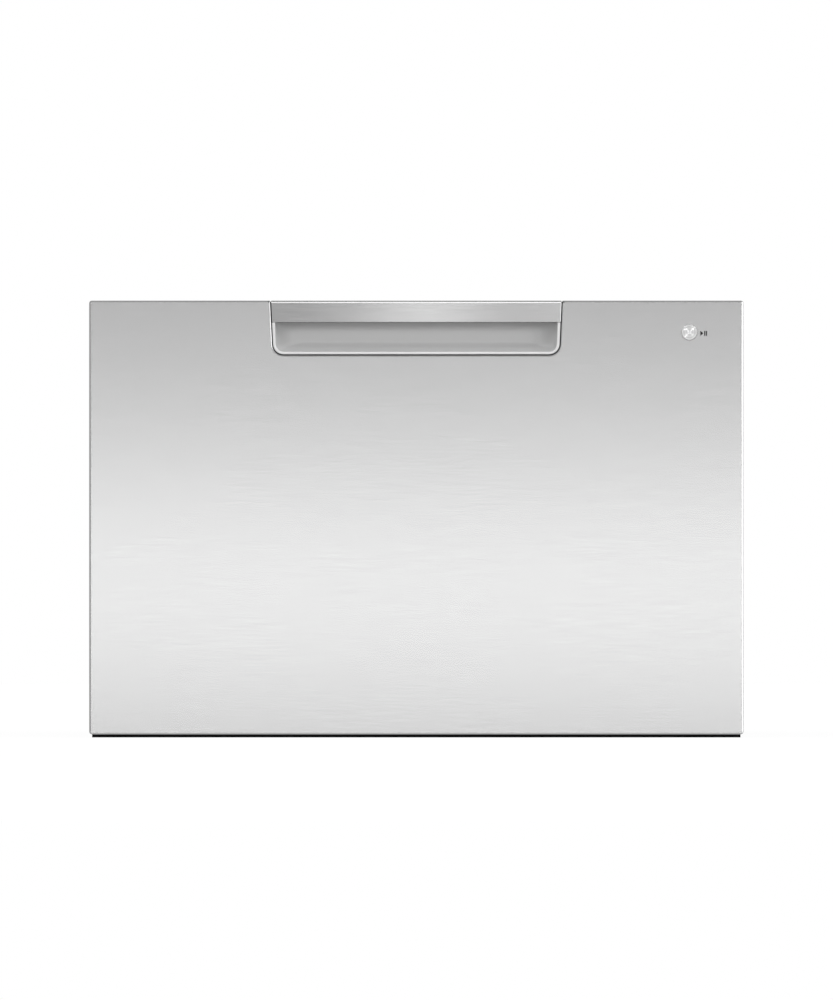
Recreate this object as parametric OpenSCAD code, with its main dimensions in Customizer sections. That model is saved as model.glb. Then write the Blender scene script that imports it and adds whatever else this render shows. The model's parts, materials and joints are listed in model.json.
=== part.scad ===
// Single built-in dishwasher drawer: a steel chassis, a wash tub that rolls out on telescopic runners,
// and a lid that lowers onto the tub. The front faces -Y, +X is to the right and the floor is at Z = 0.
// All sizes are in millimetres.

/* [Overall] */
// Width of the drawer front
overall_w = 599; // [585:1:620]
// Depth from the face of the drawer front to the rear panel
overall_d = 573; // [565:1:610]
// Height from the floor to the top of the drawer front
overall_h = 400; // [395:1:430]

/* [Drawer front] */
// Thickness of the drawer front
front_t = 20; // [19:0.5:24]
// Gap under the drawer front, where the black base strip shows
toe_gap = 3; // [2:0.5:5]
// Thickness of the steel skin
skin_t = 1; // [0.8:0.1:1.2]
// Radius of the skin's folded edges
edge_r = 2; // [1.6:0.1:2.4]
// Corner radius of the skin seen from the front
corner_r = 2.5; // [2.1:0.1:3]
// Wall of the plastic frame behind the skin
frame_t = 2.5; // [2:0.1:3]

/* [Handle] */
// Half width of the handle recess along its lower edge
recess_half_w = 132; // [120:0.5:140]
// Depth of the recess below the top edge
recess_h = 50; // [46:0.5:56]
// Radius of the recess's lower corners
recess_r = 10.5; // [8:0.5:14]
// Lean of the recess's ends, in degrees
recess_lean = 2.5; // [1:0.5:3]
// Height of the steel handle bar
bar_h = 19; // [17:0.5:22]
// Thickness of the handle bar
bar_t = 5; // [4:0.5:6]
// Depth of the finger scoop from the face
scoop_d = 30; // [28:0.5:32]
// Wall of the finger scoop
scoop_t = 2; // [1.6:0.1:2.4]
// Shadow gap round the scoop and bar
shadow_gap = 0.8; // [0.6:0.1:1]

/* [Buttons] */
// Diameter of the start button
button_d = 13.8; // [12:0.2:15]
// Distance of the start button right of the centre
button_x = 250; // [235:1:258]
// Distance of the start button below the top edge
button_drop = 29; // [27:0.5:34]
// Travel of the start button
button_travel = 1; // [0.6:0.1:1.5]
// Length of the control strip on the top edge
strip_l = 132; // [128:1:136]
// Depth of the control strip, front to back
strip_w = 13; // [12:0.5:14]
// Diameter of the keys in the control strip
key_d = 8; // [7:0.5:9]
// Distance between the keys
key_pitch = 19; // [16:1:22]

/* [Chassis] */
// Inset of the chassis from the ends of the drawer front
case_inset = 2.5; // [2:0.1:3]
// Thickness of the chassis steel
case_t = 1; // [0.8:0.1:1.2]
// Drop of the chassis top below the top of the drawer front
case_drop = 2; // [1:0.5:3]
// Height of the edges folded up round the base tray
tray_flange = 16; // [14:1:18]
// Thickness of the black seal between the chassis and the drawer front
bulb_t = 2; // [1.5:0.1:2.5]
// Width of the black seal
bulb_w = 2.7; // [2.5:0.1:2.8]
// Depth of the stiffening beads pressed into the side panels
bead_depth = 1.2; // [0.8:0.1:1.4]
// Width of the stiffening beads
bead_w = 18; // [14:1:20]

/* [Feet] */
// Height of a foot below the base tray
foot_h = 7.7; // [7:0.1:9]
// Radius of the foot pad
foot_pad_r = 16; // [13:0.5:18]
// Radius of the foot's threaded stud
foot_stud_r = 5; // [4:0.5:6]
// Height of the threaded boss that holds a foot
foot_boss_h = 26; // [24:1:28]

/* [Runners] */
// Space between the tub and the chassis wall, for the runners
runner_space = 34; // [33:0.5:36]
// Height of the runners' outer members
runner_h = 45; // [44:0.5:46]
// Thickness of the runner steel
runner_t = 1.2; // [1:0.1:1.3]
// Diameter of the runner balls
ball_d = 4; // [3.8:0.1:4]
// Height of the runner's centre line above the underside of the tub
runner_rise = 93; // [85:1:100]
// Length of the fixed runner members
runner_l = 490; // [480:1:500]
// Travel of the drawer
drawer_travel = 500; // [460:5:500]

/* [Tub] */
// Wall thickness of the tub
tub_t = 3; // [2.5:0.1:3.2]
// Corner radius of the tub
tub_r = 32; // [26:1:36]
// Width of the rim that the lid seals on
rim_w = 12; // [11.5:0.5:13]
// Thickness of the rim
rim_t = 4; // [3:0.5:5]
// Space between the base tray and the tub floor, for the motor
sump_space = 64; // [62:0.5:66]
// Space between the tub rim and the chassis top, for the lid
lid_space = 53; // [52.5:0.5:56]
// Space between the drawer front and the tub
front_space = 28.5; // [27.5:0.5:30]
// Space between the tub and the rear panel
rear_space = 79.5; // [78:0.5:82]
// Radius of the sump
sump_r = 88; // [86:0.5:92]
// Depth of the sump below the tub floor
sump_depth = 25; // [24:0.5:27]
// Radius of the rotor well in the sump floor
well_r = 36; // [35:0.5:37]
// Depth of the rotor well
well_depth = 28; // [27:0.5:28.5]

/* [Lid] */
// Distance that the lid lowers onto the tub
lid_lift = 10; // [8:0.5:11]
// Height of the lid's side walls
lid_h = 20; // [18:0.5:21]
// Wall thickness of the lid
lid_t = 3; // [2.5:0.1:3.5]
// Height of the lid seal
lid_seal_h = 6; // [5:0.5:6.5]
// Width of the lid seal
lid_seal_w = 8; // [7:0.5:9]
// Length of a lid crank from its pivot to the lid
crank_arm = 40; // [36:1:44]
// Length of a lid crank from its pivot down to the rod
crank_drop = 25; // [23:0.5:27]
// Distance of the crank pivots from the ends of the tub
crank_inset = 72.5; // [66:0.5:80]

/* [Wash system] */
// Length of the spray arm
spray_l = 400; // [360:2:404]
// Thickness of the spray arm
spray_t = 12; // [10:0.5:12.5]
// Height of the spray arm's underside above the tub floor
spray_rise = 18; // [17.5:0.5:20]
// Radius of the post that the spray arm turns on
post_r = 10; // [9:0.5:11]
// Radius of the wash impeller
impeller_r = 30; // [27:0.5:31]
// Radius of the drain filter
filter_r = 24; // [22:0.5:25]

/* [Racks] */
// Gap between the rack and the tub on each side
rack_side_gap = 30; // [27:1:40]
// Gap between the rack and the tub, front and back
rack_gap = 23; // [20:1:30]
// Height of the rack floor above the tub floor
rack_rise = 40; // [39:0.5:44]
// Height of the rack's sides
rack_h = 93; // [80:1:96]
// Radius of the heavy rack wires
wire_r = 2.5; // [2.3:0.1:2.8]
// Radius of the light rack wires
thin_r = 2; // [1.8:0.1:2.2]
// Number of wire bays across the rack and along it
wire_bays = 8; // [6:2:10]
// Height of the plate tines
tine_h = 75; // [60:1:78]
// Number of tines in a row
tine_count = 10; // [6:1:12]
// Reach of the cup racks
cup_reach = 100; // [80:1:104]

/* [Dispenser] */
// Width of the dispenser's face plate
dispenser_w = 132; // [126:1:140]
// Height of the dispenser's face plate
dispenser_h = 98; // [94:1:100]
// Depth of the dispenser behind the tub wall
dispenser_d = 23; // [20:0.5:24]
// Radius of the rinse aid cap
cap_r = 13; // [11:0.5:14]

/* [Hose link] */
// Length of each hose link arm between its pivots
link_l = 400; // [390:1:410]
// Width of the hose link arms
link_w = 32; // [30:1:34]
// Height of the hose link arms
link_h = 32; // [28:1:33]
// Wall of the hose link arms
link_t = 2.5; // [2:0.1:3]

/* [Connections] */
// Radius of the water inlet thread
inlet_r = 13.2; // [12:0.1:14]
// Radius of the drain spigot
drain_r = 10.5; // [9:0.1:11.5]
// Radius of the mains cable hole
cable_r = 4.8; // [4:0.1:5.5]
// Radius of the screw holes that fix the chassis to the kitchen unit
fixing_r = 2.5; // [2:0.1:3]

/* [Hidden] */
$fn = 48;
eps = 0.01;
gap = 0.3;      // running gap between pieces that move past each other
fit = 0.05;     // running fit of a shaft in its bore

// Planes of the front and the chassis
y_face = -overall_d / 2;
y_back = overall_d / 2;
y_front_back = y_face + front_t;
y_seal = y_front_back + gap;
y_case = y_seal + bulb_t;
z_front = toe_gap;
z_top = overall_h;
front_h = z_top - z_front;
z_base = foot_h + gap;
z_case = overall_h - case_drop;
x_case = overall_w / 2 - case_inset;
x_wall = x_case - case_t;
z_floor = z_base + case_t;
z_ceiling = z_case - case_t;
y_wall = y_back - case_t;

// Tub
x_tub = x_wall - runner_space;
y_tub0 = y_front_back + front_space;
y_tub1 = y_back - rear_space;
y_mid = (y_tub0 + y_tub1) / 2;
tub_l = y_tub1 - y_tub0;
z_tub = z_base + sump_space;
z_rim = z_case - lid_space;
z_in = z_tub + tub_t;
z_sump = z_in - sump_depth;
z_well = z_sump - well_depth;
y_rim0 = y_tub0 - rim_w;

// Runners, with x measured from the chassis wall
z_runner = z_tub + runner_rise;
y_runner0 = y_front_back + 11.5;
outer_half = runner_h / 2;
ball_step = ball_d + 0.1;
middle_half = outer_half - runner_t - ball_step;
inner_half = middle_half - runner_t - ball_step;
outer_reach = 11;
middle_x0 = 2;
middle_x1 = 10.5;
inner_x0 = 3.8;
inner_x1 = 12.7;
ball_x = 6.5;
cage_l = 120;
cage_balls = 8;
middle_l = runner_l - 10;
inner_l = 448;
shelf_z = z_runner + outer_half + 4.5;

// Lid and its linkage
x_lid = x_tub + rim_w;
z_seal = z_rim + gap + lid_lift;
z_lid = z_seal + lid_seal_h;
z_pin = z_lid + 11;
z_pivot = z_pin - lid_lift / 2;
crank_angle = asin(lid_lift / 2 / crank_arm);
crank_ys = [y_tub0 + crank_inset, y_tub1 - crank_inset];
crank_x0 = x_wall - 12;
crank_x1 = x_wall - 8;
rod_x0 = x_wall - 7;
rod_x1 = x_wall - 4;
lid_pin_r = 3;
rod_pin_r = 2.5;
pivot_r = 4;
rod_h = 10;
rod_pin_y = -crank_drop * sin(crank_angle);
z_rod = z_pivot - crank_drop * cos(crank_angle);
plunger_r = 2.5;
actuator_y0 = crank_ys[1] + 38;
actuator_l = 68;

// Spray arm and pump
x_pump = 0;
y_pump = y_mid;
z_spray = z_in + spray_rise;
plate_t = 2;
z_plate = z_in + plate_t;
dome_r = impeller_r + 6;
z_dome = z_in + 7;
// the filter sits beside the dome, on a line at 45 degrees
filter_reach = dome_r + filter_r + 3;
filter_x = filter_reach * sqrt(0.5);
filter_y = y_pump - filter_x;
axle_r = 4;
module_in = 26;
module_w = 122;
module_l = 130;
module_h = 38;
module_drop = 12;

// Rack
rack_x = x_tub - rack_side_gap;
rack_y0 = y_tub0 + rack_gap;
rack_y1 = y_tub1 - rack_gap + tub_t;
bay_x = 2 * rack_x / wire_bays;
bay_y = (rack_y1 - rack_y0) / wire_bays;
z_rack = z_in + rack_rise - wire_r;
z_cross = z_rack + wire_r + thin_r - 1;
z_rack_top = z_rack + rack_h;
thin_h = thin_r * cos(22.5);  // half of a light wire's height, from flat to flat
z_comb = z_cross + thin_r * 2 + 1 + gap;
clip_l = 8;
comb_y0 = rack_y0 + 2 * bay_y + clip_l / 2 + 1;
comb_y1 = rack_y1 - clip_l;
comb_x = 50;
fixed_comb_x = 142;
z_cup = z_rack_top + 20;
cup_x = rack_x - 7;
cup_y0 = rack_y0 + 60;
cup_y1 = rack_y1 - 34;
basket_w = 230;
basket_d = 64;
basket_h = 93;
basket_t = 2;
basket_y = rack_y0 + 10 + basket_d / 2;
z_basket = z_cross + thin_r;

// Dispenser, set in the tub's front wall
y_inside = y_tub0 + tub_t;
z_dispenser = z_rim - 29 - dispenser_h / 2;
cup_w = 72;
cup_h = 60;
cup_d = 18;
cup_cx = -20;
flap_gap = 1;
flap_t = 2.6;
hinge_r = 1.5;
knuckle_r = 3;
y_plate = y_inside + 3;
hinge_y = y_plate + knuckle_r + gap;
hinge_z = z_dispenser - cup_h / 2 - 4;
cap_x = 40;

// Hose link
pivot_a = [-link_l / 2, y_back - 25];
pivot_m = [link_l / 2, y_back - 25];
turret_r = 22;
hose_y = y_back - 66;
z_hose = z_floor + 9;
fill_hose_r = 6;
drain_hose_r = 9;
hose_bend = 22;
z_run = z_tub - drain_hose_r - 5.5;
sump_ports = [y_pump + 34, y_pump - 6];
x_port = -sump_r - tub_t - 10;
z_arm1 = z_base + 52.5;
z_arm2 = z_arm1 + link_h + 3;
link_post_r = 6;
link_pin_r = 5;
end_pin_r = 4;
slot_slack = 16;
z_slot = z_arm2 + link_h + 4;
slot_t = 6;

// Connections at the rear
inlet_x = pivot_m[0] + link_w / 2 + 24;
outlet_x = pivot_a[0] - turret_r - 24;
valve_l = 42;
spigot_l = 14;
z_ports = z_base + 52;
gland_x = 100;
z_gland = z_floor + tray_flange + cable_r + 6.2;
y_fixing = y_case + 10;
fixing_in = 76;
foot_xs = x_wall - 36;
foot_y0 = y_case + 30;
foot_y1 = hose_y - fill_hose_r - foot_stud_r - 9;
screw_r = 2;
screw_head_r = 4;
screw_hole_r = 2.2;
screw_l = 6;
screw_head_h = 1.8;
flange_w = 11;
low_screw = 52;
high_screw = 38;
side_screw_zs = [for (i = [0 : 3]) z_base + low_screw + i * (z_case - z_base - low_screw - high_screw) / 3];
edge_screw_ys = [for (i = [-1 : 1]) i * (y_wall - 85.5)];
z_low_screw = z_floor + tray_flange / 2;
z_high_screw = z_ceiling - 4;

// ---- Helpers

// Box between two planes on each axis
module span(x, y, z) {
    translate([x[0], y[0], z[0]])
        cube([x[1] - x[0], y[1] - y[0], z[1] - z[0]]);
}

module rod_x(x, y, z, r) {
    translate([x[0], y, z]) rotate([0, 90, 0]) cylinder(h = x[1] - x[0], r = r);
}

module rod_y(x, y, z, r) {
    translate([x, y[0], z]) rotate([-90, 0, 0]) cylinder(h = y[1] - y[0], r = r);
}

module rod_z(x, y, z, r) {
    translate([x, y, z[0]]) cylinder(h = z[1] - z[0], r = r);
}

// Eight-sided rack wires, flat side up
module wire_x(x, y, z, r) {
    translate([x[0], y, z]) rotate([0, 90, 0]) rotate(22.5) cylinder(h = x[1] - x[0], r = r, $fn = 8);
}

module wire_y(x, y, z, r) {
    translate([x, y[0], z]) rotate([-90, 0, 0]) rotate(22.5) cylinder(h = y[1] - y[0], r = r, $fn = 8);
}

module wire_z(x, y, z, r) {
    translate([x, y, z[0]]) rotate(22.5) cylinder(h = z[1] - z[0], r = r, $fn = 8);
}

// Rectangle with true round corners, centred on the origin
module rounded(w, h, r) {
    square([w - 2 * r, h], center = true);
    square([w, h - 2 * r], center = true);
    for (x = [-1, 1], y = [-1, 1])
        translate([x * (w / 2 - r), y * (h / 2 - r)]) circle(r = r);
}

// Rounded block that stands on the tub's centre line
module tub_block(grow, z) {
    translate([0, y_mid, z[0]])
        linear_extrude(z[1] - z[0])
            rounded(2 * (x_tub + grow), tub_l + 2 * grow, tub_r + grow);
}

// Draws a right-hand piece, or its mirror image on the left
module on_side(side) {
    if (side > 0) children();
    else mirror([1, 0, 0]) children();
}

// Stands an outline that is drawn with x right and y up on the plane y = y0, and gives it a depth
module upright(y, z = 0) {
    translate([0, y[1], z]) rotate([90, 0, 0]) linear_extrude(y[1] - y[0]) children();
}

// ---- Chassis

// Floor sheet with its folded edges, foot bosses and rails set on it
module base_tray() {
    x_flange = x_wall - case_t - fit;
    color("gainsboro")
    difference() {
        union() {
            span([-x_wall, x_wall], [y_case, y_wall], [z_base, z_floor]);
            for (side = [-1, 1])
                on_side(side)
                    span([x_wall - case_t, x_wall], [y_case, y_wall], [z_floor + fit, z_floor + tray_flange]);
            span([-x_flange, x_flange], [y_wall - case_t, y_wall], [z_floor + fit, z_floor + tray_flange]);
            span([-x_flange, x_flange], [y_case, y_case + case_t], [z_floor + fit, z_floor + 5]);
            for (x = [-foot_xs, foot_xs], y = [foot_y0, foot_y1])
                rod_z(x, y, [z_floor + fit, z_base + foot_boss_h], foot_stud_r + 4);
            // drip channel rails that keep a leak away from the feet
            for (x = [-foot_xs + 22, foot_xs - 22])
                span([x - 1, x + 1], [y_case + 40, hose_y - fill_hose_r - 3], [z_floor + fit, z_floor + 4]);
        }
        for (x = [-foot_xs, foot_xs], y = [foot_y0, foot_y1])
            rod_z(x, y, [z_base - 1, z_base + foot_boss_h + 1], foot_stud_r + fit);
        screw_holes();
    }
}

// Clearance holes for the chassis screws, on both sides
module screw_holes() {
    for (side = [-1, 1])
        on_side(side)
            screw_places()
                rod_x([x_wall - 3, x_case + 1], 0, 0, screw_hole_r);
}

module screw_places() {
    for (z = side_screw_zs) translate([0, y_wall - flange_w / 2, z]) children();
    for (y = edge_screw_ys, z = [z_low_screw, z_high_screw]) translate([0, y, z]) children();
}

module chassis_screws() {
    color("silver")
    for (side = [-1, 1])
        on_side(side)
            screw_places() {
                difference() {
                    union() {
                        rod_x([x_case, x_case + screw_head_h - 0.6], 0, 0, screw_head_r);
                        rod_x([x_case, x_case + screw_head_h], 0, 0, screw_head_r - 0.8);
                        rod_x([x_case - screw_l, x_case + eps], 0, 0, screw_r);
                    }
                    span([x_case + 0.9, x_case + 3], [-0.5, 0.5], [-2, 2]);
                    span([x_case + 0.9, x_case + 3], [-2, 2], [-0.5, 0.5]);
                }
            }
}

module side_panel(side) {
    color("lightgray")
    on_side(side)
    difference() {
        union() {
            span([x_wall, x_case], [y_case, y_back], [z_base, z_case]);
            // pivot studs of the lid cranks, each with a shoulder
            for (y = crank_ys) {
                rod_x([crank_x1 + gap, x_wall + eps], y, z_pivot, pivot_r + 3);
                rod_x([crank_x0 - 2, x_wall + eps], y, z_pivot, pivot_r);
                rod_x([crank_x0 - 2, crank_x0 - gap], y, z_pivot, pivot_r + 1.6);
            }
            for (z = bead_zs())
                translate([x_wall - bead_depth, 0, 0]) bead(z, 0, bead_depth + eps);
        }
        for (z = bead_zs())
            translate([x_case - bead_depth, 0, 0]) bead(z, -1.2, bead_depth + 1);
        screw_holes();
        for (z = fixing_zs())
            rod_x([x_wall - 1, x_case + 1], y_fixing, z, fixing_r);
    }
}

function bead_zs() = [z_runner - 68, z_runner + 62, z_runner + 112];
function fixing_zs() = [z_base + 112, z_case - 118];

// Round-ended stiffening bead along the side panel
module bead(z, grow, depth) {
    r = bead_w / 2 + grow;
    reach = tub_l / 2 - 20;
    for (y = [-reach, reach]) rod_x([0, depth], y, z, r);
    span([0, depth], [-reach, reach], [z - r, z + r]);
}

module rear_panel() {
    color("lightgray")
    difference() {
        union() {
            span([-x_wall, x_wall], [y_wall, y_back], [z_base, z_ceiling]);
            for (side = [-1, 1])
                on_side(side)
                    span([x_wall - case_t, x_wall], [y_wall - flange_w, y_wall - fit],
                         [z_floor + tray_flange + 2, z_ceiling - 10]);
        }
        screw_holes();
        rod_y(inlet_x, [y_wall - 1, y_back + 1], z_ports, inlet_r + 6);
        rod_y(outlet_x, [y_wall - 1, y_back + 1], z_ports, drain_r + 6);
        rod_y(gland_x, [y_wall - 1, y_back + 1], z_gland, cable_r + 4 + fit);
        // vent slots
        for (x = [-150 : 50 : 150])
            span([x - 18, x + 18], [y_wall - 1, y_back + 1], [z_rim - 20, z_rim - 14]);
    }
}

module top_panel() {
    color("lightgray")
    difference() {
        union() {
            span([-x_wall, x_wall], [y_case, y_back], [z_ceiling, z_case]);
            for (side = [-1, 1])
                on_side(side)
                    span([x_wall - case_t, x_wall], [y_case + 8.5, y_wall - flange_w - 1],
                         [z_ceiling - 8, z_ceiling + eps]);
            // stiffening channel across the back
            span([-x_wall + 20, x_wall - 20], [y_wall - 40, y_wall - 39], [z_ceiling - 8, z_ceiling + eps]);
        }
        screw_holes();
        for (x = [-fixing_x(), fixing_x()])
            rod_z(x, y_fixing, [z_ceiling - 1, z_case + 1], fixing_r);
    }
}

function fixing_x() = x_wall - fixing_in;

// Black seal round the chassis mouth; its lower edge is the strip that shows under the front
module front_gasket() {
    color("black") {
        difference() {
            span([-x_case, x_case], [y_seal, y_case], [0, z_case]);
            span([-x_case + bulb_w, x_case - bulb_w], [y_seal - 1, y_case + 1],
                 [z_base + bulb_w, z_case - bulb_w]);
        }
        // clip behind the bulb, inside the sheet edges
        for (side = [-1, 1])
            on_side(side)
                span([x_case - bulb_w, x_wall], [y_case - eps, y_case + 6],
                     [z_floor + tray_flange + 2, z_ceiling - 1]);
        span([-x_wall + 8, x_wall - 8], [y_case - eps, y_case + 6], [0.5, z_base]);
    }
}

// ---- Feet: x and y of the stud's axis

module foot(x, y) {
    color("dimgray")
    union() {
        rod_z(x, y, [0, 4], foot_pad_r);
        rod_z(x, y, [4 - eps, foot_h], foot_stud_r + 5);
        rod_z(x, y, [foot_h - eps, z_base + foot_boss_h - 2], foot_stud_r);
    }
}

// ---- Runners, drawn for the right-hand side with x measured from the wall

// C section, open towards the tub
module runner_section(x0, x1, half, l) {
    span([x_wall - x0 - runner_t, x_wall - x0], [0, l], [-half, half]);
    for (z = [half - runner_t, -half])
        span([x_wall - x1, x_wall - x0], [0, l], [z, z + runner_t]);
}

module runner_outer(side) {
    color("silver")
    on_side(side)
        translate([0, y_runner0, z_runner])
            union() {
                runner_section(0, outer_reach, outer_half, runner_l);
                // end stop of the middle member
                span([x_wall - outer_reach, x_wall], [runner_l - runner_t, runner_l],
                     [-outer_half, outer_half]);
            }
}

module runner_middle(side) {
    color("lightsteelblue")
    on_side(side)
        translate([0, y_runner0, z_runner])
            runner_section(middle_x0, middle_x1, middle_half, middle_l);
}

module runner_inner(side) {
    color("silver")
    on_side(side)
        translate([0, y_runner0 - 3, z_runner])
            union() {
                // web, carried up to the shelf under the tub's ledge
                span([x_wall - inner_x1, x_wall - inner_x1 + runner_t], [0, inner_l],
                     [-inner_half, shelf_z - z_runner]);
                for (z = [inner_half - runner_t, -inner_half])
                    span([x_wall - inner_x1, x_wall - inner_x0], [0, inner_l], [z, z + runner_t]);
                span([x_tub, x_wall - inner_x1 + runner_t], [0 + tub_r, inner_l - tub_r],
                     [shelf_z - z_runner - runner_t, shelf_z - z_runner]);
            }
}

// Ball cages of both runners: a strip above and a strip below, with their balls
module ball_cages(half, y_centre) {
    color("goldenrod")
    for (side = [-1, 1], dz = [-half, half])
        on_side(side)
            translate([x_wall - ball_x, y_centre, z_runner + dz]) {
                cube([3.2, cage_l, 0.8], center = true);
                for (i = [0 : cage_balls - 1])
                    translate([0, (i + 0.5) * cage_l / cage_balls - cage_l / 2, 0])
                        sphere(d = ball_d);
            }
}

module ball_cages_outer() {
    ball_cages(middle_half + ball_step / 2, y_runner0 + runner_l / 2 - 10);
}

module ball_cages_inner() {
    ball_cages(inner_half + ball_step / 2, y_runner0 + runner_l / 2 - 20);
}

// ---- Lid and its linkage

module lid() {
    color("whitesmoke")
    union() {
        tub_block(rim_w, [z_lid, z_lid + lid_t]);
        difference() {
            tub_block(rim_w - 6, [z_lid, z_lid + lid_h]);
            tub_block(rim_w - 6 - lid_t, [z_lid + lid_t - eps, z_lid + lid_h + 1]);
        }
        for (i = [-2 : 2])
            span([i * 80 - 1.2, i * 80 + 1.2], [y_tub0 - rim_w + 8, y_tub1 + rim_w - 8],
                 [z_lid + lid_t - eps, z_lid + lid_h - 6]);
        for (i = [-2 : 2])
            span([-x_tub + 2, x_tub - 2], [y_mid + i * 70 - 1.2, y_mid + i * 70 + 1.2],
                 [z_lid + lid_t - eps, z_lid + lid_h - 6]);
        // pins that ride in the cranks
        for (side = [-1, 1], y = crank_ys)
            on_side(side) {
                rod_x([x_lid - 8, crank_x1], lid_pin_y(y), z_pin, lid_pin_r);
                rod_x([x_lid - 8, crank_x0 - 1.5], lid_pin_y(y), z_pin, lid_pin_r + 2.5);
            }
    }
}

function lid_pin_y(y) = y - crank_arm * cos(crank_angle);

module lid_seal() {
    color("dimgray")
    difference() {
        tub_block(rim_w - 1, [z_seal, z_lid]);
        tub_block(rim_w - 1 - lid_seal_w, [z_seal - 1, z_lid + 1]);
        // groove between the two sealing lips
        difference() {
            tub_block(rim_w - 1 - lid_seal_w / 3, [z_seal - 1, z_seal + 2]);
            tub_block(rim_w - 1 - lid_seal_w * 2 / 3, [z_seal - 2, z_seal + 3]);
        }
    }
}

// Bell cranks on both sides, turned up to the open position
module lid_cranks(y) {
    color("slategray")
    for (side = [-1, 1])
        on_side(side)
            translate([0, y, z_pivot])
                rotate([-crank_angle, 0, 0])
                    difference() {
                        union() {
                            rod_x([crank_x0, crank_x1], 0, 0, pivot_r + 4);
                            rod_x([crank_x0, crank_x1], -crank_arm, 0, lid_pin_r + 4.5);
                            rod_x([crank_x0, crank_x1], 0, -crank_drop, rod_pin_r + 4);
                            span([crank_x0, crank_x1], [-crank_arm, 0], [-5, 5]);
                            span([crank_x0, crank_x1], [-5, 5], [-crank_drop, 0]);
                            rod_x([crank_x1 - eps, rod_x1 + 1], 0, -crank_drop, rod_pin_r);
                        }
                        rod_x([crank_x0 - 1, crank_x1 + 1], 0, 0, pivot_r + fit);
                        rod_x([crank_x0 - 1, crank_x1 + 1], -crank_arm, 0, lid_pin_r + 0.6);
                    }
}

module lid_rods() {
    color("gray")
    for (side = [-1, 1])
        on_side(side)
            difference() {
                union() {
                    span([rod_x0, rod_x1], [crank_ys[0] + rod_pin_y - 10, crank_ys[1] + rod_pin_y + 12],
                         [z_rod - rod_h / 2, z_rod + rod_h / 2]);
                    rod_y((rod_x0 + rod_x1) / 2, [crank_ys[1] + rod_pin_y + 12 - eps, actuator_y0 + 20],
                          z_rod, plunger_r);
                }
                for (y = crank_ys)
                    rod_x([rod_x0 - 1, rod_x1 + 1], y + rod_pin_y, z_rod, rod_pin_r + 0.5);
            }
}

// Geared motor in its case on each side, which pushes the rod
module lid_actuators() {
    color("dimgray")
    for (side = [-1, 1])
        on_side(side)
            difference() {
                union() {
                    span([x_wall - 14, x_wall], [actuator_y0, actuator_y0 + actuator_l],
                         [z_rod - 14, z_rod + 12]);
                    rod_y(x_wall - 9.5, [actuator_y0 + actuator_l - eps, actuator_y0 + actuator_l + 6],
                          z_rod + 2, 4);
                    for (z = [z_rod - 18, z_rod + 12 - eps])
                        span([x_wall - 3, x_wall], [actuator_y0 + 20, actuator_y0 + 34], [z, z + 4 + eps]);
                }
                rod_y((rod_x0 + rod_x1) / 2, [actuator_y0 - 1, actuator_y0 + 40], z_rod, plunger_r + gap);
            }
}

// ---- Fittings on the chassis

module inlet_valve() {
    color("white")
    difference() {
        union() {
            rod_y(inlet_x, [y_back - 16, y_back], z_ports, inlet_r);
            rod_y(inlet_x, [y_back - 18, y_back - 16 + eps], z_ports, inlet_r + 3);
            rod_y(inlet_x, [y_back - 34, y_back - 18 + eps], z_ports, inlet_r + 1);
            rod_z(inlet_x, y_back - 30, [z_floor, z_ports], 9);
            span([inlet_x - 8, inlet_x + 8], [y_back - valve_l, y_back - 30], [z_floor, z_hose + 8]);
            // solenoid coil
            rod_z(inlet_x, y_back - 28, [z_ports, z_ports + 38], 8);
            rod_z(inlet_x, y_back - 28, [z_ports + 16, z_ports + 34], 12);
        }
        rod_y(inlet_x, [y_back - 24, y_back + 1], z_ports, inlet_r - 4);
    }
}

module drain_outlet() {
    color("dimgray")
    difference() {
        union() {
            rod_y(outlet_x, [pivot_a[1], y_back - spigot_l], z_ports, drain_r + 2);
            rod_y(outlet_x, [y_back - spigot_l - eps, y_back], z_ports, drain_r);
            rod_z(outlet_x, pivot_a[1], [z_floor, z_ports + drain_r], drain_r);
            span([outlet_x, outlet_x + drain_r + 4], [pivot_a[1] - 10, pivot_a[1] + 10],
                 [z_floor, z_hose + 3 + drain_hose_r + 1]);
        }
        rod_y(outlet_x, [y_back - 22, y_back + 1], z_ports, drain_r - 2.5);
    }
}

module terminal_box() {
    color("dimgray")
    difference() {
        union() {
            span([gland_x - 45, gland_x + 45], [y_back - 50, y_back - 14], [z_floor, z_gland + 22]);
            span([gland_x - 48, gland_x + 48], [y_back - 52, y_back - 12], [z_gland + 10, z_gland + 14]);
            rod_y(gland_x, [y_back - 14 - eps, y_back], z_gland, cable_r + 4);
            rod_y(gland_x, [y_back - 14 - eps, y_back - 6], z_gland, cable_r + 7);
        }
        rod_y(gland_x, [y_back - 14, y_back + 1], z_gland, cable_r);
    }
}

// Fixed hoses along the floor, from the connections to the hose link's pivot
module chassis_hoses() {
    color("dimgray")
    {
        // fill hose: out of the valve's foot, round a bend and along the floor
        rod_y(inlet_x, [hose_y + hose_bend, y_back - valve_l], z_hose, fill_hose_r);
        translate([inlet_x - hose_bend, hose_y + hose_bend, z_hose])
            rotate([0, 0, -90]) rotate_extrude(angle = 90) translate([hose_bend, 0]) circle(r = fill_hose_r);
        rod_x([pivot_a[0] + turret_r, inlet_x - hose_bend], hose_y, z_hose, fill_hose_r);
        // drain hose: from the pivot's side to the outlet
        rod_x([outlet_x + drain_r + 4, pivot_a[0] - turret_r - 4], pivot_a[1], z_hose + 3, drain_hose_r);
    }
}

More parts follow.
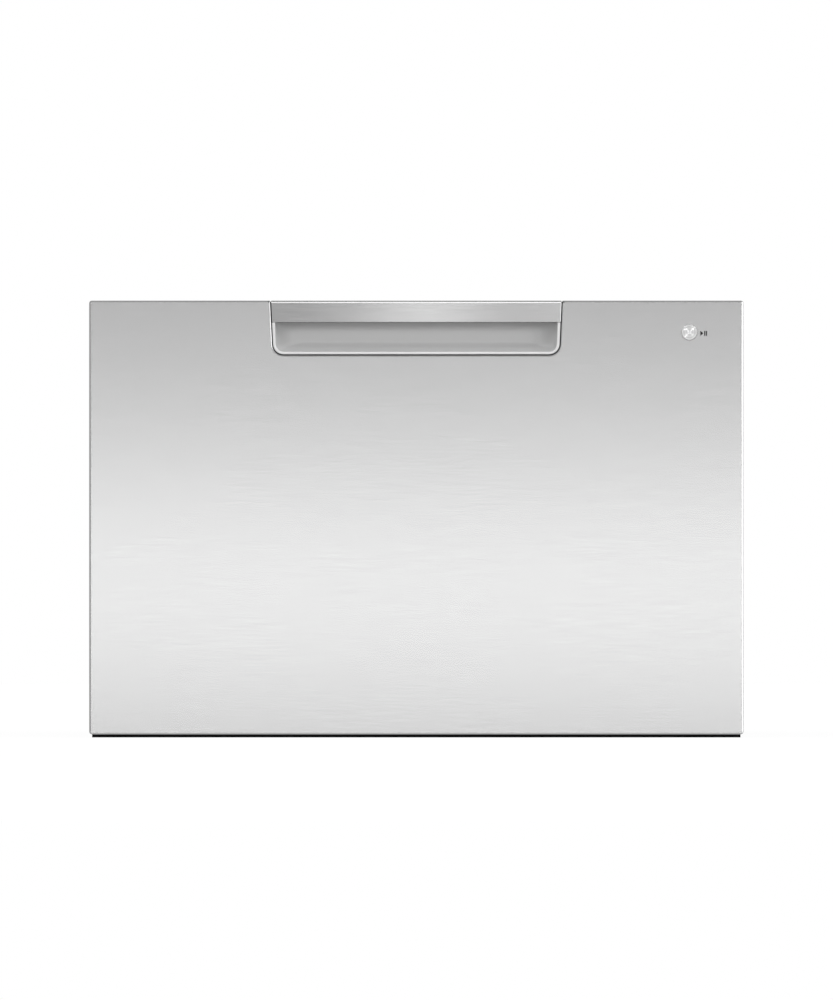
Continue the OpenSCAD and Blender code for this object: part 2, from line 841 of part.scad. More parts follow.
// Hollow turret that the hoses enter and the first link arm turns on
module link_pivot() {
    color("gray")
    difference() {
        union() {
            rod_z(pivot_a[0], pivot_a[1], [z_floor, z_arm1 - gap], turret_r);
            rod_z(pivot_a[0], pivot_a[1], [z_arm1 - 1, z_arm1 + link_h + 1.5], link_post_r);
            span([pivot_a[0] - turret_r - 9, pivot_a[0] + turret_r + 9],
                 [pivot_a[1] - turret_r - 2, y_wall - case_t], [z_floor, z_floor + 2.5]);
            // sockets for the two hoses
            span([pivot_a[0] - 2, pivot_a[0] + turret_r], [hose_y - 9, pivot_a[1]], [z_floor, z_hose + 8]);
            span([pivot_a[0] - turret_r - 4, pivot_a[0]], [pivot_a[1] - 11, pivot_a[1] + 11],
                 [z_floor, z_hose + 3 + drain_hose_r + 2]);
        }
        rod_z(pivot_a[0], pivot_a[1], [z_arm1 - 20, z_arm1 + link_h + 3], link_post_r - 3);
    }
}

// ---- Hose link arms: closed ducts between round hubs

module link_duct(a, b, z) {
    rod_z(a[0], a[1], [z, z + link_h], link_w / 2);
    rod_z(b[0], b[1], [z, z + link_h], link_w / 2);
    span([a[0], b[0]], [a[1] - link_w / 2 + 3, a[1] + link_w / 2 - 3], [z, z + link_h - 3]);
    for (x = [a[0] + 50 : 50 : b[0] - 40])
        span([x - 1.5, x + 1.5], [a[1] - link_w / 2 + 1, a[1] + link_w / 2 - 1], [z, z + link_h - 1]);
}

// The space inside a duct, where the hoses and wires lie
module duct_space(a, b, z) {
    span([a[0] + 24, b[0] - 24], [a[1] - link_w / 2 + 3 + link_t, a[1] + link_w / 2 - 3 - link_t],
         [z + link_t, z + link_h - 3 - link_t]);
}

module link_arm_rear() {
    color("darkgray")
    difference() {
        union() {
            link_duct(pivot_a, pivot_m, z_arm1);
            rod_z(pivot_m[0], pivot_m[1], [z_arm1, z_arm2 + link_h + 2], link_pin_r);
        }
        rod_z(pivot_a[0], pivot_a[1], [z_arm1 - 1, z_arm1 + link_h + 1], link_post_r + fit);
        duct_space(pivot_a, pivot_m, z_arm1);
    }
}

module link_arm_front() {
    color("darkgray")
    difference() {
        union() {
            link_duct(pivot_a, pivot_m, z_arm2);
            rod_z(pivot_a[0], pivot_a[1], [z_arm2, z_slot + slot_t + 3], end_pin_r);
        }
        rod_z(pivot_m[0], pivot_m[1], [z_arm2 - 1, z_arm2 + link_h + 1], link_pin_r + fit);
        duct_space(pivot_a, pivot_m, z_arm2);
    }
}

// Slotted bracket on the back of the tub that the second arm's pin slides in
module link_bracket() {
    y_slot0 = pivot_a[1] - slot_slack;
    y_slot1 = pivot_a[1] + 0.6;
    slot_r = end_pin_r + 0.4;
    color("gray")
    difference() {
        union() {
            span([pivot_a[0] - 20, pivot_a[0] + 20], [y_tub1, y_slot1 + 8], [z_slot, z_slot + slot_t]);
            span([pivot_a[0] - 28, pivot_a[0] + 28], [y_tub1, y_tub1 + 3], [z_slot, z_slot + 40]);
            for (x = [pivot_a[0] - 20, pivot_a[0] + 17])
                span([x, x + 3], [y_tub1, y_slot1 + 6], [z_slot, z_slot + 18]);
        }
        for (y = [y_slot0, y_slot1])
            rod_z(pivot_a[0], y, [z_slot - 1, z_slot + slot_t + 1], slot_r);
        span([pivot_a[0] - slot_r, pivot_a[0] + slot_r], [y_slot0, y_slot1], [z_slot - 1, z_slot + slot_t + 1]);
    }
}

// Hoses under the tub, from the link bracket to the ports of the sump
module drawer_hoses() {
    color("dimgray")
    for (i = [0, 1]) {
        r = i == 0 ? fill_hose_r : drain_hose_r;
        x = pivot_a[0] + 12 - i * 24;
        y = y_tub1 + drain_hose_r + 3.5;
        rod_z(x, y, [z_run + hose_bend, z_slot], r);
        translate([x, y - hose_bend, z_run + hose_bend])
            rotate([0, 90, 0]) rotate_extrude(angle = 90) translate([hose_bend, 0]) circle(r = r);
        rod_y(x, [sump_ports[i] + hose_bend, y - hose_bend], z_run, r);
        translate([x + hose_bend, sump_ports[i] + hose_bend, z_run])
            rotate([0, 0, 180]) rotate_extrude(angle = 90) translate([hose_bend, 0]) circle(r = r);
        rod_x([x + hose_bend, x_port], sump_ports[i], z_run, r);
    }
}

// ---- Drawer front

// Box whose front edges are folded round, open or solid towards the back
module front_block(grow, y) {
    r = edge_r + grow;
    intersection() {
        upright([y[0], y[1]], z_front + front_h / 2)
            rounded(overall_w + 2 * grow, front_h + 2 * grow, corner_r + grow);
        translate([0, y[0] + front_t, z_front - 5])
            linear_extrude(front_h + 10) rounded(overall_w + 2 * grow, 2 * front_t, r);
        translate([-overall_w / 2 - 5, y[0] + front_t, z_front + front_h / 2])
            rotate([90, 0, 90]) linear_extrude(overall_w + 10)
                rounded(2 * front_t, front_h + 2 * grow, r);
    }
}

// Outline of the handle recess, drawn from the top edge downwards
module recess_outline(grow, top = 0) {
    r = recess_r + grow;
    cx = recess_half_w - recess_r;
    cz = -recess_h + recess_r;
    tx = cx + r * cos(recess_lean);
    tz = cz - r * sin(recess_lean);
    wide = tx + tan(recess_lean) * (top - tz);
    polygon([[-wide, top], [wide, top], [tx, tz], [cx, cz], [cx, cz - r], [-cx, cz - r], [-cx, cz], [-tx, tz]]);
    // a hair over the tangent radius, so that the arcs cross the straight sides
    for (x = [-cx, cx]) translate([x, cz]) circle(r = r + eps);
}

module front_panel() {
    color("silver")
    difference() {
        front_block(0, [y_face, y_front_back]);
        front_block(-skin_t, [y_face + skin_t, y_front_back + 1]);
        upright([y_face - 1, y_front_back + 1], z_top) recess_outline(0, 5);
        rod_y(button_x, [y_face - 1, y_face + skin_t + 1], z_top - button_drop, button_d / 2 + gap);
        span([strip_x0 - gap, strip_x0 + strip_l + gap], [strip_y - strip_w / 2 - gap, strip_y + strip_w / 2 + gap],
             [z_top - 2, z_top + 1]);
    }
}

module front_frame() {
    inner = skin_t;
    z0 = z_front + inner;
    h = front_h - 2 * inner;
    y0 = y_face + skin_t + 1.5;
    color("dimgray")
    union() {
        difference() {
            upright([y0, y_front_back], z0 + h / 2) rounded(overall_w - 2 * inner, h, corner_r - inner);
            upright([y0 - 1, y_front_back - frame_t], z0 + h / 2)
                rounded(overall_w - 2 * inner - 2 * frame_t, h - 2 * frame_t, corner_r);
            upright([y0 - 2, y_front_back + 1], z_top) recess_outline(fit - shadow_gap, 5);
            // pocket for the control strip
            span([strip_x0 - 1, strip_x0 + strip_l + 1], [y0 - 1, y_front_back - frame_t + eps],
                 [z_top - strip_h, z_top + 1]);
        }
        // shelf under the control strip
        span([strip_x0 - 3, strip_x0 + strip_l + 3], [y0, y_front_back - frame_t + eps],
             [z_top - strip_h - 2.5, z_top - strip_h]);
        // stiffening ribs inside the frame
        for (x = [-220, -75, 75, 220])
            span([x - 1.2, x + 1.2], [y0, y_front_back - frame_t + eps], [z0 + 1, z_top - recess_h - 12]);
        for (z = [z_front + 100, z_front + 220])
            span([-overall_w / 2 + 2, overall_w / 2 - 2], [y0, y_front_back - frame_t + eps], [z - 1.2, z + 1.2]);
        // bosses that carry the tub
        for (x = [-x_tub + 60, x_tub - 60], z = [z_tub + 50, z_rim - 60])
            span([x - 14, x + 14], [y_front_back - eps, y_tub0], [z - 12, z + 12]);
        // deck that covers the gap in front of the rim
        span([-x_tub + 20, x_tub - 20], [y_front_back - eps, y_rim0], [z_rim - 4, z_rim - 1]);
    }
}

module handle_bar() {
    color("gainsboro")
    intersection() {
        upright([y_face, y_front_back], z_top) recess_outline(-shadow_gap, 5);
        translate([-overall_w / 2, 0, 0])
            rotate([90, 0, 90]) linear_extrude(overall_w) {
                translate([y_face + bar_t / 2, z_top - bar_h / 2]) rounded(bar_t, bar_h, 1);
                translate([(y_face + y_front_back) / 2, z_top - 1.25]) rounded(front_t, 2.5, 0.8);
            }
    }
}

module handle_scoop() {
    z_cut = z_top - 12;
    y_scoop = y_face + scoop_d;
    w = recess_half_w - shadow_gap - scoop_t;
    color("silver")
    difference() {
        intersection() {
            union() {
                upright([y_face + 0.4, y_scoop], z_top) recess_outline(-shadow_gap);
                // flange behind the frame
                upright([y_front_back, y_front_back + 2], z_top) recess_outline(4);
            }
            span([-overall_w / 2, overall_w / 2], [y_face - 1, y_scoop + 1], [z_top - recess_h - 8, z_cut]);
        }
        // finger space: its sides and floor draw in towards the back
        intersection() {
            upright([y_face - 1, y_scoop - scoop_t], z_top)
                recess_outline(-shadow_gap - scoop_t, z_cut - scoop_t - z_top);
            translate([0, 0, z_top - recess_h - 10])
                linear_extrude(recess_h + 10)
                    polygon([[-w - 4, y_face - 1], [w + 4, y_face - 1], [w - 4, y_scoop], [4 - w, y_scoop]]);
            translate([-overall_w / 2, 0, z_top])
                rotate([90, 0, 90]) linear_extrude(overall_w)
                    polygon([[y_face - 1, -recess_h - 1], [y_scoop, 10 - recess_h], [y_scoop, 0], [y_face - 1, 0]]);
        }
        // seat of the bar
        span([-overall_w / 2, overall_w / 2], [y_face, y_face + bar_t], [z_top - bar_h, z_top]);
    }
}

strip_x0 = recess_half_w + 12;
strip_y = y_face + front_t / 2;
strip_h = 8;
key_xs = [for (i = [0 : 2]) strip_x0 + 14 + i * key_pitch];

// Black control strip let into the top edge, with holes for the keys and a window for the display
module control_strip() {
    color("black")
    difference() {
        translate([strip_x0 + strip_l / 2, strip_y, z_top - strip_h])
            linear_extrude(strip_h) rounded(strip_l, strip_w, 2);
        for (x = key_xs)
            rod_z(x, strip_y, [z_top - strip_h - 1, z_top + 1], key_d / 2 + 0.15);
        span([key_xs[2] + 14, strip_x0 + strip_l - 8], [strip_y - 4, strip_y + 4], [z_top - 0.4, z_top + 1]);
    }
}

module control_key(i) {
    color("silver")
    rod_z(key_xs[i], strip_y, [z_top - strip_h + 1.5, z_top], key_d / 2);
}

module start_button() {
    z = z_top - button_drop;
    color("silver")
    union() {
        rod_y(button_x, [y_face, y_face + 4], z, button_d / 2);
        rod_y(button_x, [y_face + 4 - eps, y_face + 9], z, 3);
    }
}

// Guide tube and switch behind the start button
module button_housing() {
    z = z_top - button_drop;
    y0 = y_face + skin_t;
    color("dimgray")
    difference() {
        union() {
            rod_y(button_x, [y0, y_front_back - frame_t], z, button_d / 2 + 2.5);
            span([button_x - 12, button_x + 12], [y_face + 10, y_front_back - frame_t], [z - 9, z + 9]);
        }
        rod_y(button_x, [y0 - 1, y_face + 4 + button_travel + 0.5], z, button_d / 2 + gap);
        rod_y(button_x, [y0 - 1, y_face + 9 + button_travel + 0.5], z, 3 + gap);
    }
}

// ---- Tub and what is fixed to it

module tub() {
    color("whitesmoke")
    difference() {
        union() {
            tub_block(0, [z_tub, z_rim]);
            tub_block(rim_w, [z_rim - rim_t, z_rim]);
            rod_z(x_pump, y_pump, [z_sump - tub_t, z_tub + 1], sump_r + tub_t);
            rod_z(x_pump, y_pump, [z_well - tub_t, z_sump], well_r + tub_t);
            // ports that the hoses plug onto
            for (y = sump_ports)
                rod_x([x_port, -sump_r * 0.8], y, z_run, drain_hose_r + 1);
            // ledges that sit on the runners
            for (side = [-1, 1])
                on_side(side)
                    span([x_tub - 1, x_wall - inner_x1 + runner_t], [y_tub0 + tub_r, y_tub1 - tub_r],
                         [shelf_z, shelf_z + 3]);
            // ribs under the rim
            for (side = [-1, 1], i = [-3 : 3])
                on_side(side)
                    span([x_tub - 1, x_tub + rim_w - 2], [y_mid + i * 55 - 1, y_mid + i * 55 + 1],
                         [z_rim - 26, z_rim - 1]);
        }
        tub_block(-tub_t, [z_in, z_rim + 1]);
        rod_z(x_pump, y_pump, [z_sump, z_in + 1], sump_r);
        difference() {
            rod_z(x_pump, y_pump, [z_well, z_sump + 1], well_r);
            // axle that the rotor turns on
            rod_z(x_pump, y_pump, [z_well - 1, z_well + 14], axle_r);
        }
        // opening for the dispenser
        upright([y_tub0 - 1, y_inside + 1], z_dispenser) rounded(dispenser_w - 12, dispenser_h - 10, 6);
    }
}

module dispenser() {
    color("lightgray")
    union() {
        difference() {
            union() {
                upright([y_inside, y_plate], z_dispenser) rounded(dispenser_w, dispenser_h, 8);
                upright([y_tub0 - dispenser_d, y_inside + eps], z_dispenser)
                    rounded(dispenser_w - 12 - 2 * gap, dispenser_h - 10 - 2 * gap, 6 - gap);
            }
            span([cup_cx - cup_w / 2, cup_cx + cup_w / 2], [y_plate - cup_d, y_plate + 1],
                 [z_dispenser - cup_h / 2, z_dispenser + cup_h / 2]);
            rod_y(cap_x, [y_plate - 14, y_plate + 1], z_dispenser, 8 + 2 * fit);
        }
        // hinge ears on either side of the flap
        for (x = [cup_cx - cup_w / 2 - 3.4, cup_cx + cup_w / 2 - 0.6])
            difference() {
                union() {
                    rod_x([x, x + 4], hinge_y, hinge_z, knuckle_r);
                    span([x, x + 4], [y_plate - eps, hinge_y], [hinge_z - knuckle_r, hinge_z + knuckle_r]);
                }
                rod_x([x - 1, x + 5], hinge_y, hinge_z, hinge_r + fit);
            }
    }
}

module dispenser_flap() {
    x0 = cup_cx - cup_w / 2 + 1.2;
    x1 = cup_cx + cup_w / 2 - 1.2;
    color("white")
    union() {
        span([cup_cx - cup_w / 2 - 3, cup_cx + cup_w / 2 + 3], [y_plate + gap, y_plate + gap + flap_t],
             [hinge_z + knuckle_r + 1, z_dispenser + cup_h / 2 + 4]);
        span([x0, x1], [y_plate + gap, y_plate + gap + flap_t], [hinge_z, hinge_z + knuckle_r + 1 + eps]);
        rod_x([x0, x1], hinge_y, hinge_z, knuckle_r - 0.1);
        rod_x([x0 - 4, x1 + 4], hinge_y, hinge_z, hinge_r);
        // finger catch along the top
        span([cup_cx - 12, cup_cx + 12], [y_plate + gap + flap_t - eps, y_plate + gap + flap_t + 3],
             [z_dispenser + cup_h / 2 - 3, z_dispenser + cup_h / 2 + 2]);
    }
}

module rinse_cap() {
    color("lightsteelblue")
    union() {
        rod_y(cap_x, [y_plate + 0.2, y_plate + 5], z_dispenser, cap_r);
        rod_y(cap_x, [y_plate - 12, y_plate + 0.2 + eps], z_dispenser, 8);
        span([cap_x - cap_r + 2, cap_x + cap_r - 2], [y_plate + 5 - eps, y_plate + 10],
             [z_dispenser - 2, z_dispenser + 2]);
    }
}

// Plate over the tub floor, with the pump's dome and the spray arm's hollow post
module filter_plate() {
    color("darkgray")
    difference() {
        union() {
            tub_block(-tub_t - 4, [z_in, z_plate]);
            rod_z(x_pump, y_pump, [z_sump + 4, z_dome], dome_r);
            rod_z(x_pump, y_pump, [z_dome - 1, z_spray - 0.5], post_r + 6);
            rod_z(x_pump, y_pump, [z_dome - 1, z_spray + spray_t + 3], post_r);
            rod_z(x_pump, y_pump, [z_spray + spray_t + gap, z_spray + spray_t + 4], post_r + 4);
            rod_z(filter_x, filter_y, [z_plate - eps, z_plate + 2], filter_r + 5);
        }
        rod_z(x_pump, y_pump, [z_sump, z_dome - 3], dome_r - 3);
        rod_z(x_pump, y_pump, [z_sump, z_spray + spray_t + 1], post_r - 3);
        rod_z(filter_x, filter_y, [z_in - 1, z_plate + 3], filter_r + gap);
        // slots that let the water through to the sump
        for (a = [20 : 20 : 280])
            translate([x_pump, y_pump, 0]) rotate(a)
                span([dome_r + 8, sump_r - 10], [-2, 2], [z_in - 1, z_plate + 1]);
        // rows of round holes in the plate
        for (side = [-1, 1], i = [0 : 5], j = [-3 : 3])
            rod_z(side * (sump_r + 24 + i * 22), y_mid + j * 44, [z_in - 1, z_plate + 1], 3);
    }
}

module drain_filter() {
    color("gray")
    union() {
        difference() {
            rod_z(filter_x, filter_y, [z_sump + 1, z_plate + 4], filter_r);
            rod_z(filter_x, filter_y, [z_sump + 3, z_plate + 5], filter_r - 2);
            for (a = [0 : 30 : 150])
                translate([filter_x, filter_y, 0]) rotate(a)
                    span([-filter_r - 1, filter_r + 1], [-2, 2], [z_sump + 6, z_in - 4]);
        }
        // rim flange and grip
        difference() {
            rod_z(filter_x, filter_y, [z_plate + 2 + gap, z_plate + 4], filter_r + 2.5);
            rod_z(filter_x, filter_y, [z_plate + 1, z_plate + 5], filter_r - 2);
        }
        span([filter_x - filter_r + 1, filter_x + filter_r - 1], [filter_y - 2, filter_y + 2],
             [z_plate + 1, z_spray - 4]);
    }
}

module spray_arm() {
    tip = spray_l / 2 - 15;
    color("whitesmoke")
    translate([x_pump, y_pump, 0])
    difference() {
        union() {
            for (side = [-1, 1])
                hull() {
                    rod_z(0, 0, [z_spray, z_spray + spray_t], 21, $fn = 32);
                    rod_z(side * tip, 0, [z_spray + 2, z_spray + spray_t - 2], 15, $fn = 32);
                }
            rod_z(0, 0, [z_spray, z_spray + spray_t], 21.5);
        }
        rod_z(0, 0, [z_spray - 1, z_spray + spray_t + 1], post_r + fit);
        // jets
        for (r = [45 : 28 : tip], side = [-1, 1])
            translate([side * r, side * 5, z_spray + spray_t - 4]) cylinder(h = 5, r = 2);
    }
}

// Magnet, shaft and wash impeller
module rotor() {
    z_impeller = z_sump + 8;
    color("slategray")
    translate([x_pump, y_pump, 0])
    difference() {
        union() {
            rod_z(0, 0, [z_well + 2, z_sump - 4], well_r - 3);
            rod_z(0, 0, [z_sump - 5, z_impeller + 1], 10);
            rod_z(0, 0, [z_impeller, z_impeller + 2.5], impeller_r);
            for (a = [0 : 60 : 300])
                rotate(a) translate([0, -6, 0])
                    span([8, impeller_r - 5], [0, 2], [z_impeller + 2, z_impeller + 9]);
            rod_z(0, 0, [z_impeller, z_impeller + 10], 8);
        }
        rod_z(0, 0, [z_well + 1, z_well + 16], axle_r + fit);
    }
}

module pump_stator() {
    color("chocolate")
    translate([x_pump, y_pump, 0]) {
        difference() {
            rod_z(0, 0, [z_well + 1, z_sump - tub_t], well_r + tub_t + 7);
            rod_z(0, 0, [z_well, z_sump], well_r + tub_t);
        }
        for (a = [0 : 40 : 320])
            rotate(a)
                difference() {
                    span([well_r + tub_t + 4, well_r + tub_t + 19], [-9, 9], [z_well + 3, z_sump - tub_t - 3]);
                    span([well_r + tub_t + 3, well_r + tub_t + 8], [-10, 10], [z_well + 2, z_well + 3 + eps]);
                }
    }
}

module electronics_module() {
    x0 = -x_tub + module_in;
    x1 = x0 + module_w;
    y0 = y_tub0 + module_in;
    y1 = y0 + module_l;
    z1 = z_tub - module_drop;
    color("dimgray")
    difference() {
        union() {
            span([x0, x1], [y0, y1], [z1 - module_h, z1]);
            span([x0 - 3, x1 + 3], [y0 - 3, y1 + 3], [z1 - 12, z1 - 8]);
            for (x = [x0 + 6, x1 - 12], y = [y0 + 6, y1 - 12])
                span([x, x + 6], [y, y + 6], [z1 - eps, z_tub]);
        }
        for (i = [0 : 5])
            span([x0 + 14 + i * 17, x0 + 20 + i * 17], [y0 - 1, y0 + 3], [z1 - module_h + 4, z1 - 18]);
    }
}

// ---- Racks

// Wire mats that are set together: floor, sides, ends and two fixed rows of tines, on four feet
module rack() {
    z_mid = z_rack + rack_h / 2;
    z_side = z_cross + thin_h + fit;
    z_row = z_side + thin_h;
    x_end = rack_x - wire_r;
    color("slategray")
    difference() {
        union() {
            // floor
            for (i = [0 : wire_bays])
                wire_y(-rack_x + i * bay_x, [rack_y0 - wire_r, rack_y1 + wire_r], z_rack,
                       i == 0 || i == wire_bays ? wire_r : thin_r);
            for (i = [0 : wire_bays])
                wire_x([-rack_x - thin_r, rack_x + thin_r], rack_y0 + i * bay_y, z_cross, thin_r);
            // sides
            for (side = [-1, 1]) {
                for (i = [0 : wire_bays])
                    wire_z(side * rack_x, rack_y0 + i * bay_y, [z_side, z_rack_top], thin_r);
                wire_y(side * rack_x, [rack_y0 - wire_r, rack_y1 + wire_r], z_rack_top, wire_r);
                wire_y(side * rack_x, [rack_y0 - thin_r, rack_y1 + thin_r], z_mid, thin_r);
            }
            // ends, between the sides
            for (y = [rack_y0, rack_y1]) {
                for (i = [1 : wire_bays - 1])
                    wire_z(-rack_x + i * bay_x, y, [z_side, z_rack_top], thin_r);
                wire_x([-x_end, x_end], y, z_rack_top, wire_r);
                wire_x([-x_end, x_end], y, z_mid, thin_r);
            }
            // feet that stand on the filter plate
            for (x = [-rack_x, rack_x], y = [rack_y0, rack_y1])
                wire_z(x, y, [z_plate, z_rack - wire_r], wire_r + 1.5);
            // fixed plate tines
            for (x = [-fixed_comb_x, fixed_comb_x]) {
                wire_y(x, [rack_y0 + bay_y, rack_y1 - thin_r * 2], z_row, thin_r);
                for (i = [0 : tine_count - 1])
                    wire_z(x, comb_tine_y(i), [z_row, z_comb + tine_h], thin_r);
            }
            // clips that carry the folding combs and the cup racks
            for (x = [-comb_x, comb_x], y = [comb_y0 - clip_l - 1, comb_y1 + 1])
                span([x - 4, x + 4], [y, y + clip_l], [z_side, z_comb + 4]);
            for (side = [-1, 1], y = [cup_y0 - clip_l - 1, cup_y1 + 1])
                on_side(side) {
                    span([cup_x - 4, rack_x + 1], [y, y + clip_l], [z_cup - 4, z_cup + 4]);
                    span([rack_x - 3, rack_x + 1], [y, y + clip_l], [z_rack_top + wire_r, z_cup]);
                }
        }
        for (x = [-comb_x, comb_x])
            rod_y(x, [comb_y0 - clip_l - 2, comb_y1 + clip_l + 2], z_comb, thin_r + fit);
        for (x = [-cup_x, cup_x])
            rod_y(x, [cup_y0 - clip_l - 2, cup_y1 + clip_l + 2], z_cup, thin_r + fit);
    }
}

function comb_tine_y(i) = comb_y0 + 14 + i * (comb_y1 - comb_y0 - 28) / (tine_count - 1);

// Row of plate tines on a pivot wire
module tine_comb(x) {
    color("slategray")
    union() {
        rod_y(x, [comb_y0 - clip_l, comb_y1 + clip_l], z_comb, thin_r);
        for (i = [0 : tine_count - 1]) {
            wire_z(x, comb_tine_y(i), [z_comb + thin_r + fit, z_comb + tine_h], thin_r);
        }
        // stop collars on either end of the pivot wire
        for (y = [comb_y0 - 0.7, comb_y1 - 1.3])
            rod_y(x, [y, y + 2], z_comb, thin_r + 1);
    }
}

// Fold-up shelf for cups: a hinge wire, ribs across, an outer wire and its rail
module cup_rack(side) {
    n = 7;
    pitch = (cup_y1 - cup_y0 - 20) / (n - 1);
    color("slategray")
    on_side(side)
        union() {
            rod_y(cup_x, [cup_y0 - clip_l, cup_y1 + clip_l], z_cup, thin_r);
            for (y = [cup_y0 - 0.7, cup_y1 - 1.3])
                rod_y(cup_x, [y, y + 2], z_cup, thin_r + 1);
            for (x = [cup_x - cup_reach, cup_x - cup_reach * 0.55])
                wire_y(x, [cup_y0 + 8, cup_y1 - 8], z_cup, thin_r);
            for (i = [0 : n - 1])
                wire_x([cup_x - cup_reach - thin_r, cup_x], cup_y0 + 10 + i * pitch, z_cup, thin_r);
            // upstanding rail along the edge
            for (i = [0 : n - 1])
                wire_z(cup_x - cup_reach, cup_y0 + 10 + i * pitch, [z_cup + thin_h + fit, z_cup + 16], thin_r);
            wire_y(cup_x - cup_reach, [cup_y0 + 8, cup_y1 - 8], z_cup + 16, thin_r);
        }
}

// Cutlery basket with dividers, window grids and a handle; its flat walls are set together round a floor
module cutlery_basket() {
    cell = basket_w / 5;
    corner = 8;
    post_w = 4;
    post_z = z_basket + basket_h - 20;
    z_mouth = z_basket + basket_h;
    x_wall_end = basket_w / 2 - corner - fit;
    y_wall_end = basket_d / 2 - corner - fit;
    window_pitch = x_wall_end / 5;
    color("darkgray")
    difference() {
        union() {
            // floor
            translate([0, basket_y, z_basket]) linear_extrude(basket_t) rounded(basket_w, basket_d, corner);
            translate([0, basket_y, z_basket + basket_t + fit])
                linear_extrude(basket_h - basket_t - fit)
                    difference() {
                        rounded(basket_w, basket_d, corner);
                        rounded(basket_w - 2 * basket_t, basket_d - 2 * basket_t, corner - basket_t);
                        // joints between the walls and the corners
                        for (x = [-x_wall_end, x_wall_end])
                            translate([x, 0]) square([fit, basket_d + 2], center = true);
                        for (y = [-y_wall_end, y_wall_end])
                            translate([0, y]) square([basket_w + 2, fit], center = true);
                    }
            for (i = [1 : 4])
                translate([-basket_w / 2 + i * cell, basket_y, 0])
                    span([-basket_t / 2, basket_t / 2], [-basket_d / 2 + basket_t + fit, basket_d / 2 - basket_t - fit],
                         [z_basket + basket_t + fit, z_mouth - 16]);
            // handle bar on two end posts
            span([-basket_w / 2, basket_w / 2], [basket_y - 2.5, basket_y + 2.5], [z_mouth + 4 + fit, z_mouth + 8]);
            for (x = [-basket_w / 2 + basket_t + fit, basket_w / 2 - basket_t - fit - post_w])
                span([x, x + post_w], [basket_y - 6, basket_y + 6], [post_z, z_mouth + 4]);
        }
        // windows in the long walls
        for (i = [0 : 9], y = [-basket_d / 2, basket_d / 2], k = [0 : 2])
            translate([-x_wall_end + (i + 0.5) * window_pitch, basket_y + y, z_basket + 16 + k * 24])
                cube([window_pitch - 4.4, 2 * basket_t + 1, 16], center = true);
        for (x = [-basket_w / 2, basket_w / 2], k = [0 : 2])
            translate([x, basket_y, z_basket + 16 + k * 24])
                cube([2 * basket_t + 1, basket_d - 28, 16], center = true);
    }
}

base_tray();
side_panel(-1);  // side_panel_left
side_panel(1);  // side_panel_right
rear_panel();
top_panel();
front_gasket();
chassis_screws();
runner_outer(-1);  // runner_outer_left
runner_outer(1);  // runner_outer_right
lid_actuators();
inlet_valve();
drain_outlet();
terminal_box();
chassis_hoses();
link_pivot();
foot(-foot_xs, foot_y0);  // foot_front_left
foot(foot_xs, foot_y0);  // foot_front_right
foot(-foot_xs, foot_y1);  // foot_rear_left
foot(foot_xs, foot_y1);  // foot_rear_right
runner_middle(-1);  // runner_middle_left
runner_middle(1);  // runner_middle_right
ball_cages_outer();
ball_cages_inner();
lid();
lid_seal();
lid_cranks(crank_ys[0]);  // lid_cranks_front
lid_cranks(crank_ys[1]);  // lid_cranks_rear
lid_rods();
front_panel();
front_frame();
handle_bar();
handle_scoop();
control_strip();
button_housing();
runner_inner(-1);  // runner_inner_left
runner_inner(1);  // runner_inner_right
tub();
dispenser();
filter_plate();
pump_stator();
electronics_module();
rack();
cutlery_basket();
link_bracket();
drawer_hoses();
start_button();
control_key(0);  // key_power
control_key(1);  // key_program
control_key(2);  // key_option
dispenser_flap();
rinse_cap();
drain_filter();
spray_arm();
rotor();
tine_comb(-comb_x);  // tine_comb_left
tine_comb(comb_x);  // tine_comb_right
cup_rack(-1);  // cup_rack_left
cup_rack(1);  // cup_rack_right
link_arm_rear();
link_arm_front();
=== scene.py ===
# Dishwasher drawer: finishes, fine shapes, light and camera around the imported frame
import json
import math

import bmesh
import bpy
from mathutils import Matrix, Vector


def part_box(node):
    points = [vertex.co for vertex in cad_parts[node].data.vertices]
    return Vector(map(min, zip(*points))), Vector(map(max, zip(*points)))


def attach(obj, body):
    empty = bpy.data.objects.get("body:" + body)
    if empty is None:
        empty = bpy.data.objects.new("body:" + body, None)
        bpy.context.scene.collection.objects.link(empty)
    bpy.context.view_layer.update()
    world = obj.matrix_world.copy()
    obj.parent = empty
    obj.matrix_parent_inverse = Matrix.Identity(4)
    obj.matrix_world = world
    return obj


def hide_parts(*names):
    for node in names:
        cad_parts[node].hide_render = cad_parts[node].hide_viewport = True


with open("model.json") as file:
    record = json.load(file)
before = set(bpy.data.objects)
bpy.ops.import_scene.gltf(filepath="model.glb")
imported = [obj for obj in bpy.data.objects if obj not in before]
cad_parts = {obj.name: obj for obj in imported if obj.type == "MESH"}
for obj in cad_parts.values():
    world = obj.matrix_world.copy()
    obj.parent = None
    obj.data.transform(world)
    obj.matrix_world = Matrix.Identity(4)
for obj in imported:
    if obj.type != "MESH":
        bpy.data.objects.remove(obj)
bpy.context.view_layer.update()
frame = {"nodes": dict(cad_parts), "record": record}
cadNodes = frame["nodes"]
mm = 0.001
turn = 2 * math.pi
print("frame loaded:", len(cadNodes), "solids")


def hexColour(text):
    # sRGB hex to the linear values that sockets take
    def toLinear(c):
        return c / 12.92 if c <= 0.04045 else ((c + 0.055) / 1.055) ** 2.4
    return [toLinear(int(text[i:i + 2], 16) / 255) for i in (1, 3, 5)] + [1.0]


def addNode(tree, kind, settings=None, links=None):
    node = tree.nodes.new(kind)
    for key, value in (settings or {}).items():
        if isinstance(key, int) or key in node.inputs:
            node.inputs[key].default_value = value
        else:
            setattr(node, key, value)
    for key, (source, output) in (links or {}).items():
        tree.links.new(source.outputs[output], node.inputs[key])
    return node


